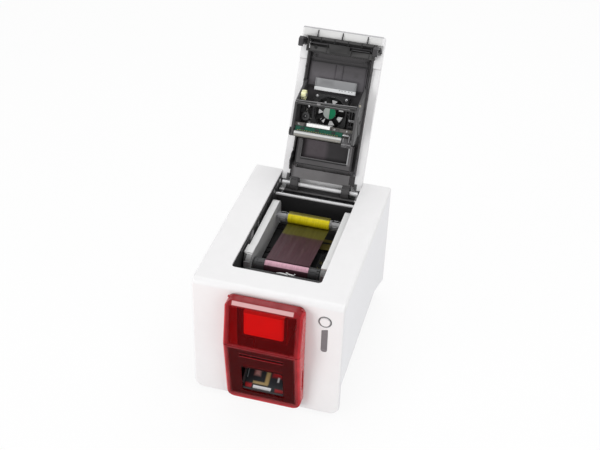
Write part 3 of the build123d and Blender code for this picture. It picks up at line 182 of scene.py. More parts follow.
def surface(
    name,
    colour,
    rough=0.45,
    vary=0.06,
    scale=60.0,
    grain=0.25,
    grain_scale=1400.0,
    metallic=0.0,
    coat=0.0,
    edge=0.4,
    spec=0.5,
    stretch=(1, 1, 1),
    rough_vary=0.08,
    edge_highlight=0.0,
    painted_glow=0.0,
    place=WORLD,
    zones=(),
):
    """Moulded plastic, metal, rubber or paper: colour drift, fine grain, rounded edges with a
    painted highlight on them. A zone is (low, high, colour, roughness, softness) in place's frame."""
    m, tree, out = new_material(name)
    link = tree.links.new
    p = node(tree, "ShaderNodeBsdfPrincipled", Metallic=metallic, Coat_Weight=coat)
    p.inputs["Specular IOR Level"].default_value = spec
    p.inputs["Coat Roughness"].default_value = 0.12
    link(p.outputs[0], out.inputs[0])
    where = tree.nodes.new("ShaderNodeTexCoord")
    frame_map = node(tree, "ShaderNodeMapping", Scale=stretch)
    link(where.outputs["Object"], frame_map.inputs[0])
    drift = node(tree, "ShaderNodeTexNoise", Scale=scale, Detail=4.0, Roughness=0.6)
    link(frame_map.outputs[0], drift.inputs["Vector"])
    ramp = tree.nodes.new("ShaderNodeValToRGB")
    low = [max(0.0, c * (1 - vary)) for c in colour] + [1]
    high = [min(1.0, c * (1 + vary)) for c in colour] + [1]
    ramp.color_ramp.elements[0].position, ramp.color_ramp.elements[1].position = 0.3, 0.7
    ramp.color_ramp.elements[0].color, ramp.color_ramp.elements[1].color = low, high
    link(drift.outputs[0], ramp.inputs[0])
    spread = node(tree, "ShaderNodeMapRange")
    spread.inputs["To Min"].default_value = max(0.02, rough - rough_vary)
    spread.inputs["To Max"].default_value = min(1.0, rough + rough_vary)
    link(drift.outputs[0], spread.inputs[0])
    tint, dull = ramp.outputs[0], spread.outputs[0]
    if zones:
        spot = local(tree, place)
        for first, last, shade, matt, soft in zones:
            mask = within(tree, spot, first, last, soft)
            uneven = node(tree, "ShaderNodeMix")
            uneven.data_type = "RGBA"
            link(drift.outputs[0], uneven.inputs[0])
            uneven.inputs[6].default_value = [c * (1 - vary) for c in shade] + [1]
            uneven.inputs[7].default_value = [min(1, c * (1 + vary)) for c in shade] + [1]
            tint = mix_colour(tree, mask, tint, uneven.outputs[2])
            dull = mix_number(tree, mask, dull, matt)
    if edge_highlight:
        # painted highlight: ridges and edges are made lighter, standing in for light catching them
        ridge = tree.nodes.new("ShaderNodeNewGeometry")
        sharp = node(tree, "ShaderNodeMapRange")
        for key, value in (("From Min", 0.52), ("From Max", 0.60), ("To Max", edge_highlight)):
            sharp.inputs[key].default_value = value
        link(ridge.outputs["Pointiness"], sharp.inputs[0])
        highlit_edge_colour = [min(1.0, c * 1.6 + 0.06) for c in colour]
        tint = mix_colour(tree, sharp.outputs[0], tint, highlit_edge_colour)
    link(tint, p.inputs["Base Color"])
    link(dull, p.inputs["Roughness"])
    fine = node(tree, "ShaderNodeTexNoise", Scale=grain_scale, Detail=2.0)
    link(frame_map.outputs[0], fine.inputs["Vector"])
    bump = node(tree, "ShaderNodeBump", Strength=grain, Distance=0.00008)
    link(fine.outputs[0], bump.inputs["Height"])
    if edge:
        soft_edge = tree.nodes.new("ShaderNodeBevel")
        soft_edge.samples = 4
        soft_edge.inputs["Radius"].default_value = edge * MM
        link(soft_edge.outputs[0], bump.inputs["Normal"])
    link(bump.outputs[0], p.inputs["Normal"])
    # painted light: an emission that makes the surface glow though it is no lamp
    if painted_glow:
        p.inputs["Emission Color"].default_value = (*colour, 1)
        p.inputs["Emission Strength"].default_value = painted_glow
    return m


def clear_red(name, tint, base, thick, thin, low, high, gloss=0.14, body=(0.40, 0.016, 0.020), painted_reflections=()):
    """Red see-through plastic. Outside low to high, in the front's frame, the borders are
    dense, with a painted bright rim standing in for the light that runs along the walls;
    inside it is clear. Pale painted reflections on the flat top bevel stand in for the light it mirrors."""
    m, tree, out = new_material(name)
    link = tree.links.new
    spot = local(tree, FRONT)
    drift = node(tree, "ShaderNodeTexNoise", Scale=0.05, Detail=3.0)
    link(spot, drift.inputs["Vector"])
    inside = within(tree, spot, low, high, 1.6)
    dense = mix_number(tree, inside, thick, thin)
    dense = math_node(tree, "MULTIPLY", dense, math_node(tree, "ADD", drift.outputs[0], 0.5))
    shine = node(tree, "ShaderNodeFresnel", IOR=1.45)
    total = math_node(tree, "ADD", dense, shine.outputs[0])
    total.node.use_clamp = True
    through = node(tree, "ShaderNodeBsdfTransparent", Color=(*tint, 1))
    p = node(tree, "ShaderNodeBsdfPrincipled", Roughness=gloss)
    p.inputs["Specular IOR Level"].default_value = 0.3
    # painted highlight: outside this band the border colour is doubled into a bright rim, standing in for light
    # carried along the walls
    band = within(tree, spot, (-49.2, 17, -9), (49.2, 250, 40), 0.9)
    shade = mix_colour(tree, band, [c * 2.0 for c in base], base)
    shade = mix_colour(tree, inside, shade, body)
    # painted reflection: pale patches on the top bevel, made nearly opaque
    for first, last, pale in painted_reflections:
        reflection_mask = within(tree, spot, first, last, 0.35)
        shade = mix_colour(tree, reflection_mask, shade, pale)
        total = math_node(tree, "MAXIMUM", total, math_node(tree, "MULTIPLY", reflection_mask, 0.96))
    link(shade, p.inputs["Base Color"])
    mix = tree.nodes.new("ShaderNodeMixShader")
    link(total, mix.inputs[0])
    link(through.outputs[0], mix.inputs[1])
    link(p.outputs[0], mix.inputs[2])
    link(mix.outputs[0], out.inputs[0])
    soft_edge = tree.nodes.new("ShaderNodeBevel")
    soft_edge.samples = 4
    soft_edge.inputs["Radius"].default_value = 0.8 * MM
    link(soft_edge.outputs[0], p.inputs["Normal"])
    return m


def ribbon_film(name, low_y, high_y, share):
    """Dye film: an olive panel by the supply roll, then maroon, faintly creased."""
    m, tree, out = new_material(name)
    link = tree.links.new
    spot = local(tree, WORLD)
    parts = tree.nodes.new("ShaderNodeSeparateXYZ")
    link(spot, parts.inputs[0])
    along = node(tree, "ShaderNodeMapRange")
    along.inputs["From Min"].default_value = low_y
    along.inputs["From Max"].default_value = high_y
    link(parts.outputs[1], along.inputs[0])
    ramp = tree.nodes.new("ShaderNodeValToRGB")
    ramp.color_ramp.elements[0].position = 0.0
    ramp.color_ramp.elements[0].color = (0.068, 0.029, 0.038, 1)
    ramp.color_ramp.elements[1].position = 1.0
    ramp.color_ramp.elements[1].color = (0.17, 0.145, 0.010, 1)
    for position, colour in (
        (share - 0.30, (0.058, 0.025, 0.032, 1)),
        (share - 0.01, (0.048, 0.021, 0.027, 1)),
        (share + 0.01, (0.076, 0.068, 0.011, 1)),
        (share + 0.20, (0.074, 0.068, 0.014, 1)),
    ):
        ramp.color_ramp.elements.new(position).color = colour
    link(along.outputs[0], ramp.inputs[0])
    streak = node(tree, "ShaderNodeMapping", Scale=(0.5, 0.06, 0.1), Rotation=(0, 0, 0.6))
    link(spot, streak.inputs[0])
    crease = node(tree, "ShaderNodeTexNoise", Scale=0.35, Detail=3.0, Distortion=1.2)
    link(streak.outputs[0], crease.inputs["Vector"])
    drift = node(tree, "ShaderNodeMapRange")
    for key, value in (("From Min", 0.35), ("From Max", 0.7), ("To Min", 0.86), ("To Max", 1.18)):
        drift.inputs[key].default_value = value
    link(crease.outputs[0], drift.inputs[0])
    tint = tree.nodes.new("ShaderNodeVectorMath")
    tint.operation = "SCALE"
    link(ramp.outputs[0], tint.inputs[0])
    link(drift.outputs[0], tint.inputs["Scale"])
    p = node(tree, "ShaderNodeBsdfPrincipled", Roughness=0.4)
    p.inputs["Specular IOR Level"].default_value = 0.25
    link(tint.outputs[0], p.inputs["Base Color"])
    bump = node(tree, "ShaderNodeBump", Strength=0.35, Distance=0.0004)
    link(crease.outputs[0], bump.inputs["Height"])
    link(bump.outputs[0], p.inputs["Normal"])
    link(p.outputs[0], out.inputs[0])
    return m


def film_roll(name, centre_y, centre_z, stops, rough=0.3):
    """A wound roll coloured by the share of a turn round it: stops are (share of a turn, colour), and they paint the
    roll's light and shade.
    """
    m, tree, out = new_material(name)
    link = tree.links.new
    spot = vector_node(tree, "SUBTRACT", local(tree, WORLD), (0, centre_y, centre_z))
    parts = tree.nodes.new("ShaderNodeSeparateXYZ")
    link(spot, parts.inputs[0])
    angle = math_node(tree, "ARCTAN2", parts.outputs[2], parts.outputs[1])
    turn = math_node(tree, "ADD", math_node(tree, "DIVIDE", angle, 2 * math.pi), 0.5)
    ramp = tree.nodes.new("ShaderNodeValToRGB")
    ramp.color_ramp.elements[0].position = stops[0][0]
    ramp.color_ramp.elements[0].color = (*stops[0][1], 1)
    ramp.color_ramp.elements[1].position = stops[-1][0]
    ramp.color_ramp.elements[1].color = (*stops[-1][1], 1)
    for position, colour in stops[1:-1]:
        ramp.color_ramp.elements.new(position).color = (*colour, 1)
    link(turn, ramp.inputs[0])
    fine = node(tree, "ShaderNodeTexNoise", Scale=0.22, Detail=3.0)
    stretch = node(tree, "ShaderNodeMapping", Scale=(3.0, 0.4, 0.4))
    link(spot, stretch.inputs[0])
    link(stretch.outputs[0], fine.inputs["Vector"])
    drift = node(tree, "ShaderNodeMapRange")
    for key, value in (("From Min", 0.3), ("From Max", 0.7), ("To Min", 0.88), ("To Max", 1.12)):
        drift.inputs[key].default_value = value
    link(fine.outputs[0], drift.inputs[0])
    tint = tree.nodes.new("ShaderNodeVectorMath")
    tint.operation = "SCALE"
    link(ramp.outputs[0], tint.inputs[0])
    link(drift.outputs[0], tint.inputs["Scale"])
    p = node(tree, "ShaderNodeBsdfPrincipled", Roughness=rough)
    p.inputs["Specular IOR Level"].default_value = 0.25
    link(tint.outputs[0], p.inputs["Base Color"])
    bump = node(tree, "ShaderNodeBump", Strength=0.2, Distance=0.0002)
    link(fine.outputs[0], bump.inputs["Height"])
    link(bump.outputs[0], p.inputs["Normal"])
    link(p.outputs[0], out.inputs[0])
    return m


# Zones are (low, high, colour, roughness, softness) in millimetres.
LID_ZONES = (
    ((-46, 181.3, 0), (46, 195, 30), (0.034, 0.031, 0.034), 0.5, 0.4),
    ((-44, 146, 8), (44, 181, 12), (0.040, 0.034, 0.042), 0.5, 1.0),
    # painted sheen: two soft lighter purple-grey patches on the upper panel
    ((-34, 140, 8), (-6, 163, 12), (0.190, 0.172, 0.196), 0.45, 12.0),
    ((10, 138, 8), (38, 160, 12), (0.150, 0.138, 0.160), 0.45, 12.0),
    ((24, 166, 8), (30, 172, 12), (0.028, 0.024, 0.030), 0.5, 2.0),
    ((-34.8, 40, 0), (34.8, 74, 10), (0.062, 0.050, 0.060), 0.42, 0.5),
    # painted sheen: a soft lighter purple-grey patch on the recess floor
    ((-24, 46, 0), (-6, 66, 10), (0.210, 0.170, 0.195), 0.38, 12.0),
    ((8, 44, 0), (30, 72, 10), (0.036, 0.030, 0.036), 0.45, 8.0),
    ((-34.8, 60.5, 0), (-25, 74, 10), (0.020, 0.018, 0.020), 0.5, 1.0),
    ((-42, 30.5, 21), (42, 42.5, 30), (0.078, 0.073, 0.076), 0.45, 0.4),
    ((-42, 42.5, 21), (-30, 70, 30), (0.078, 0.073, 0.076), 0.45, 0.5),
    ((31, 39, 21), (42, 70, 30), (0.190, 0.180, 0.183), 0.4, 0.6),
    ((-50, 8, 0), (50, 30.5, 20), (0.205, 0.196, 0.200), 0.42, 0.5),
    ((14, 8, 0), (50, 30.5, 20), (0.120, 0.114, 0.118), 0.42, 14.0),
    ((-53, -12, 0), (53, 8.0, 14), (0.050, 0.048, 0.050), 0.5, 0.5),
    ((-45, -12, 12.5), (-32, 11, 40), (0.028, 0.026, 0.027), 0.45, 0.4),
    ((32, -12, 12.5), (45, 11, 40), (0.028, 0.026, 0.027), 0.45, 0.4),
)
SHELL_ZONES = (
    # painted shade: the front ledge darker, a grey line along its edge, the inner rims darker and a dark line at the
    # rims' step
    ((-58, 213, 9), (58, 226.4, 40), (0.67, 0.67, 0.665), 0.42, 1.2),
    ((-60, 226.6, 15.5), (60, 228.3, 18), (0.44, 0.44, 0.45), 0.35, 0.35),
    ((-70, 0, 11), (70, 182.6, 40), (0.74, 0.715, 0.73), 0.42, 0.6),
    ((-70, 181.6, 8), (70, 182.6, 40), (0.50, 0.48, 0.49), 0.42, 0.3),
    ((-53, -20, 3.2), (53, 14, 40), (0.060, 0.058, 0.060), 0.5, 0.4),
)
BAR_ZONES = (
    ((-46, 207.8, 0), (46, 230, 21.6), (0.010, 0.010, 0.010), 0.45, 0.3),
    ((-46, 193, 19), (46, 207.4, 40), (0.010, 0.0098, 0.0098), 0.42, 0.3),
    # painted highlight: the raised central block a little lighter, with soft edges
    ((-14, 197, 19), (10, 204, 40), (0.015, 0.0148, 0.0148), 0.42, 4.0),
)
PLATE_ZONES = (
    ((-40, 145.4, 12), (40, 158, 30), (0.285, 0.288, 0.296), 0.25, 0.3),
    ((-40, 140.0, 12), (40, 145.4, 30), (0.86, 0.87, 0.88), 0.25, 0.25),
    ((-22, 150, 12), (-4, 157, 30), (0.225, 0.228, 0.235), 0.25, 4.0),
)
RAIL_ZONES = (
    ((-70, -70, 178.2), (70, 95, 190), (0.80, 0.80, 0.80), 0.36, 0.4),
    # painted shade: the rails' inner sides darker than the rest of the frame
    ((-49.0, -57, 100), (49.0, 95, 178.2), (0.42, 0.42, 0.42), 0.42, 0.5),
    ((-70, -70, 100), (70, -50.2, 180), (0.25, 0.25, 0.25), 0.42, 0.5),
    ((-70, -70, 100), (-55.4, -50.2, 180), (0.014, 0.014, 0.014), 0.42, 0.3),
    ((-48.6, -70, 100), (48.6, -58.6, 172), (0.034, 0.034, 0.034), 0.4, 0.3),
    ((-70, 84, 100), (70, 95, 172), (0.34, 0.34, 0.34), 0.42, 1.0),
)
CRADLE_ZONES = (
    ((42, 60, 0), (47, 160, 70), (0.062, 0.060, 0.062), 0.42, 0.4),
    ((-47, 60, 0), (-42, 160, 70), (0.016, 0.016, 0.016), 0.42, 0.4),
    ((-42, 118, 50), (42, 130, 70), (0.042, 0.042, 0.042), 0.36, 0.4),
)
# painted light: olive patches on the card guide beside the film stand in for yellow light cast through it
GUIDE_YELLOW_LIGHT = (
    ((30, -8, 120), (45, 4, 140), (0.27, 0.24, 0.020), 0.4, 0.7),
    ((30, 14, 120), (50, 20, 140), (0.10, 0.09, 0.022), 0.4, 1.6),
)
CARRIER_ZONES = (
    ((-43, 87.5, 50), (43, 93, 60), (0.115, 0.108, 0.098), 0.4, 0.4),
)
BRIDGE_ZONES = (
    ((-70, 110, 60), (70, 140, 163), (0.010, 0.010, 0.010), 0.45, 1.0),
    ((-70, 121, 163), (70, 124, 180), (0.075, 0.075, 0.078), 0.38, 0.5),
)
CARD_ZONES = (
    # dark ground, red corners, tan strokes, a pale bar, in the card's own plane
    ((-45, -3, -5), (45, 90, 5), (0.024, 0.026, 0.030), 0.25, 0.2),
    ((-33, -2, -5), (-18, 6.5, 5), (0.40, 0.018, 0.022), 0.3, 1.4),
    ((15, -2, -5), (33, 5.0, 5), (0.40, 0.018, 0.022), 0.3, 1.4),
    ((8, 21, -5), (24, 31, 5), (0.34, 0.016, 0.020), 0.3, 2.4),
    ((-17, 7.2, -5), (3.6, 10.6, 5), (0.42, 0.30, 0.14), 0.3, 1.0),
    ((-1.0, 9, -5), (4.4, 26, 5), (0.40, 0.28, 0.12), 0.3, 1.2),
    ((-17, 19, -5), (-9.5, 27, 5), (0.46, 0.24, 0.22), 0.3, 2.2),
    ((-27, 14, -5), (-25.6, 28, 5), (0.22, 0.24, 0.25), 0.3, 0.6),
    ((-15.6, 0.4, -5), (9.4, 5.0, 5), (0.84, 0.84, 0.86), 0.3, 0.25),
    ((15.6, 14.6, -5), (18.0, 21, 5), (0.55, 0.55, 0.56), 0.3, 0.7),
)
M = {
    "white": surface("white_plastic", (0.80, 0.795, 0.80), rough=0.42, vary=0.012, grain=0.10, coat=0.12, edge=0.7),
    "white_front": surface(
        "front_white_plastic", (0.80, 0.795, 0.80), rough=0.40, vary=0.012, grain=0.10, coat=0.12, edge=0.7,
        place=WORLD,
        zones=(
            # painted light: a pink tint on the front face
            ((-103, -160, 0), (103, -141.5, 187), (0.80, 0.765, 0.765), 0.40, 2.0),
            ((-53, -170, 10), (53, -144.4, 187), (0.34, 0.012, 0.016), 0.30, 0.4),
            # painted light and shade: the sides tinted a little blue, the left one darker than the right
            ((101.8, -160, 0), (110, 160, 187), (0.81, 0.81, 0.835), 0.42, 0.8),
            ((-110, -160, 0), (-101.8, 160, 187), (0.78, 0.78, 0.80), 0.42, 0.8),
        ),
    ),
    "white_lid": surface(
        "lid_white_plastic", (0.83, 0.825, 0.83), rough=0.38, vary=0.012, grain=0.10, coat=0.15, edge=0.6,
        place=LID, zones=SHELL_ZONES,
    ),
    "dark": surface("dark_plastic", (0.026, 0.025, 0.027), spec=0.2, rough=0.45, vary=0.25, grain=0.4, edge_highlight=0.25),
    "black": surface("black_plastic", (0.0085, 0.0085, 0.009), spec=0.2, rough=0.4, vary=0.3, grain=0.4, edge_highlight=0.3),
    "gloss": surface("gloss_black_plastic", (0.010, 0.010, 0.011), rough=0.22, vary=0.3, grain=0.15, coat=0.5),
    "panel": surface(
        "lid_grey_panel", (0.030, 0.028, 0.029), spec=0.2, rough=0.48, vary=0.22, scale=70, grain=0.45, edge_highlight=0.5,
        place=LID, zones=LID_ZONES,
    ),
    "bar": surface(
        "latch_bar_plastic", (0.022, 0.021, 0.021), spec=0.2, rough=0.42, vary=0.22, grain=0.4, edge_highlight=0.6,
        place=LID, zones=BAR_ZONES,
    ),
    "cradle": surface(
        "cradle_plastic", (0.020, 0.019, 0.020), spec=0.2, rough=0.42, vary=0.22, grain=0.35, edge_highlight=0.6,
        place=LID, zones=CRADLE_ZONES,
    ),
    "carrier": surface(
        "carrier_metal_grey", (0.052, 0.048, 0.044), spec=0.2, rough=0.40, vary=0.18, grain=0.4, edge_highlight=0.5,
        place=LID, zones=CARRIER_ZONES,
    ),
    "guide": surface(
        "guide_plastic", (0.0095, 0.0095, 0.010), spec=0.2, rough=0.34, vary=0.25, grain=0.35, edge_highlight=0.4,
        zones=GUIDE_YELLOW_LIGHT,
    ),
    "bridge": surface(
        "bridge_plastic", (0.030, 0.029, 0.031), spec=0.2, rough=0.5, vary=0.25, scale=120, grain=0.7, edge_highlight=0.4,
        zones=BRIDGE_ZONES,
    ),
    "grey": surface("grey_plastic", (0.060, 0.058, 0.060), spec=0.2, rough=0.42, vary=0.15, grain=0.4, edge_highlight=0.4),
    "midgrey": surface("mid_grey_plastic", (0.20, 0.195, 0.20), spec=0.2, rough=0.42, vary=0.10, grain=0.3, edge_highlight=0.3),
    "light": surface(
        "light_grey_plastic", (0.60, 0.60, 0.60), rough=0.42, vary=0.03, grain=0.25, zones=RAIL_ZONES,
    ),
    "rail_white": surface("rail_white_plastic", (0.80, 0.80, 0.80), rough=0.36, vary=0.02, grain=0.2),
    "axle": surface("axle_grey_plastic", (0.40, 0.40, 0.41), rough=0.40, vary=0.06, grain=0.2, spec=0.3),
    "spool": surface("spool_black_plastic", (0.046, 0.046, 0.048), rough=0.42, vary=0.2, grain=0.25, spec=0.3),
    "pale": surface(
        "sensor_plate_metal", (0.20, 0.20, 0.205), spec=0.2, rough=0.28, vary=0.05, grain=0.15,
        place=LID, zones=PLATE_ZONES,
    ),
    "steel": surface(
        "bright_steel", (0.80, 0.80, 0.81), rough=0.40, vary=0.03, metallic=0.2, grain=0.15, scale=20,
        stretch=(0.2, 12, 12), edge=0,
    ),
    "chrome": surface("chrome", (0.88, 0.88, 0.89), rough=0.10, vary=0.02, metallic=1.0, grain=0.05, edge=0.15),
    "zinc": surface("zinc_screw", (0.55, 0.55, 0.56), rough=0.3, vary=0.06, metallic=1.0, grain=0.2, edge=0.2),
    "frame": surface("black_painted_steel", (0.014, 0.014, 0.015), spec=0.2, rough=0.38, vary=0.25, grain=0.35, edge_highlight=0.4),
    "motor": surface("motor_can", (0.30, 0.30, 0.31), rough=0.32, vary=0.1, metallic=0.9, grain=0.3),
    "rubber": surface("black_rubber", (0.018, 0.018, 0.018), spec=0.2, rough=0.75, vary=0.2, grain=0.8, grain_scale=900),
    # painted light: the cards glow, standing in for light reaching them through the red cover
    "card": surface(
        "white_cards_painted_light", (0.86, 0.86, 0.86), rough=0.3, spec=0.3, painted_glow=0.28, vary=0.03, grain=0.35, grain_scale=500, scale=900,
        stretch=(0.05, 0.05, 1.3), edge=0,
    ),
    "print": surface(
        "printed_card", (0.84, 0.84, 0.85), rough=0.3, vary=0.12, scale=160, grain=0.08, edge=0, spec=0.25,
        place=HOPPER, zones=CARD_ZONES,
    ),
    "gear": surface("gear_plastic", (0.72, 0.71, 0.66), rough=0.4, vary=0.03, grain=0.2),
    "cream": surface("cream_plastic", (0.78, 0.77, 0.40), rough=0.28, vary=0.08, grain=0.2, coat=0.3, edge_highlight=0.6),
    "beige": surface("beige_pin", (0.30, 0.27, 0.21), rough=0.35, vary=0.06, grain=0.2),
    "green": surface("circuit_green", (0.005, 0.070, 0.042), rough=0.4, vary=0.35, scale=380, grain=0.3, spec=0.2),
    "gold": surface("connector_gold", (0.34, 0.26, 0.10), rough=0.4, vary=0.05, metallic=0.3, grain=0.1, edge=0.1),
    "chip": surface("chip_epoxy", (0.020, 0.020, 0.021), spec=0.2, rough=0.5, vary=0.15, grain=0.3, edge=0.1),
    "cable": surface("flat_cable_white", (0.88, 0.88, 0.87), rough=0.3, vary=0.03, grain=0.1, stretch=(60, 1, 1)),
    "head": surface(
        "print_head_metal", (0.24, 0.24, 0.237), rough=0.35, vary=0.06, grain=0.2, spec=0.3,
        stretch=(0.3, 8, 8), place=LID,
        zones=(
            # painted highlight along the head's top edge, and painted shade along its lower edge
            ((-60, 76.6, 40), (60, 79.2, 70), (0.60, 0.61, 0.60), 0.3, 0.3),
            ((-60, 71, 40), (60, 73.4, 70), (0.13, 0.125, 0.11), 0.35, 0.4),
        ),
    ),
    "silver": surface("silver_label", (0.30, 0.33, 0.31), rough=0.35, vary=0.08, grain=0.2, spec=0.2),
    "label_green": surface("green_label", (0.002, 0.15, 0.065), rough=0.4, vary=0.10, grain=0.2, spec=0.15),
    # painted light: a glowing white standing in for light seen through the fan's vent
    "bright": surface("fan_vent_painted_light", (0.84, 0.84, 0.84), rough=0.5, vary=0.02, grain=0.1, painted_glow=0.32),
    "light_pipe": surface("grey_light_pipe", (0.155, 0.135, 0.145), rough=0.25, vary=0.06, grain=0.1, coat=0.4),
    # painted light: olive standing in for yellow light on the card path
    "olive": surface("olive_painted_light", (0.125, 0.100, 0.022), rough=0.45, vary=0.12, grain=0.2, spec=0.2),
    "ring": surface("button_ring_grey", (0.10, 0.098, 0.10), rough=0.35, vary=0.08, grain=0.2, spec=0.3),
    "red": clear_red(
        "clear_red", (1.0, 0.13, 0.12), (0.30, 0.007, 0.012), 0.72, 0.07, (-45, 121, -9), (45, 178.5, 40),
        # painted reflection: a pale pink patch on the flat top bevel
        painted_reflections=(((-42, 180.2, 12.6), (40, 185.0, 30), (0.66, 0.38, 0.38)),),
    ),
    "red_low": clear_red(
        "clear_red_low_shaded", (0.96, 0.13, 0.12), (0.30, 0.007, 0.012), 0.72, 0.12, (-45, 23, -9), (45, 115, 40),
        # painted shade: the lower cover's body colour is darker than the upper cover's
        body=(0.105, 0.006, 0.008),
    ),
    "red_edge": surface("dense_red_plastic", (0.30, 0.010, 0.014), rough=0.25, vary=0.06, grain=0.05, spec=0.3),
    "wire_red": surface("wire_red", (0.35, 0.02, 0.02), rough=0.4, vary=0.05, grain=0.1, edge=0),
    "wire_white": surface("wire_white", (0.6, 0.6, 0.58), rough=0.4, vary=0.05, grain=0.1, edge=0),
    "wire_black": surface("wire_black", (0.015, 0.015, 0.016), rough=0.4, vary=0.05, grain=0.1, edge=0),
}

dress = {
    "white": ["rear_panel"],
    "white_front": ["outer_case", "control_button"],
    "white_lid": ["lid_shell"],
    "dark": ["base_tray", "hopper_tray", "feeder_tray", "card_pusher", "latch_bar", "head_knob"],
    "black": ["fan_frame", "fan_rotor", "power_socket"],
    "spool": ["takeup_spool"],
    "panel": ["lid_inner_frame"],
    "bar": ["lid_front_bar"],
    "cradle": ["head_cradle"],
    "carrier": ["head_carrier"],
    "bridge": ["rear_bridge"],
    "guide": ["card_guide"],
    "grey": ["head_lever"],
    "axle": ["supply_spool"],
    "light": ["cartridge_frame"],
    "pale": ["sensor_plate"],
    "steel": ["hinge_shaft", "tie_bar", "latch_catches"],
    "zinc": ["case_screws", "usb_socket", "network_socket"],
    "frame": ["left_frame", "right_frame"],
    "motor": ["drive_motor", "ribbon_motor"],
    "rubber": ["rubber_feet", "platen_roller", "transport_roller", "pick_roller"],
    "card": ["card_stack"],
    "print": ["printed_card"],
    "head": ["print_head"],
    "gear": ["platen_gear", "transport_gear", "pick_gear", "main_idler", "pick_idler", "motor_pinion"],
    "cream": ["release_wheel"],
    "green": ["main_board", "control_board", "head_board"],
    "cable": ["head_cable"],
    "red": ["feeder_cover"],
    "red_low": ["hopper_cover"],
    "ring": ["button_ring"],
    "light_pipe": ["status_light"],
}
for key, names in dress.items():
    for name in names:
        mesh = nodes[name].data
        mesh.materials.clear()
        mesh.materials.append(M[key])


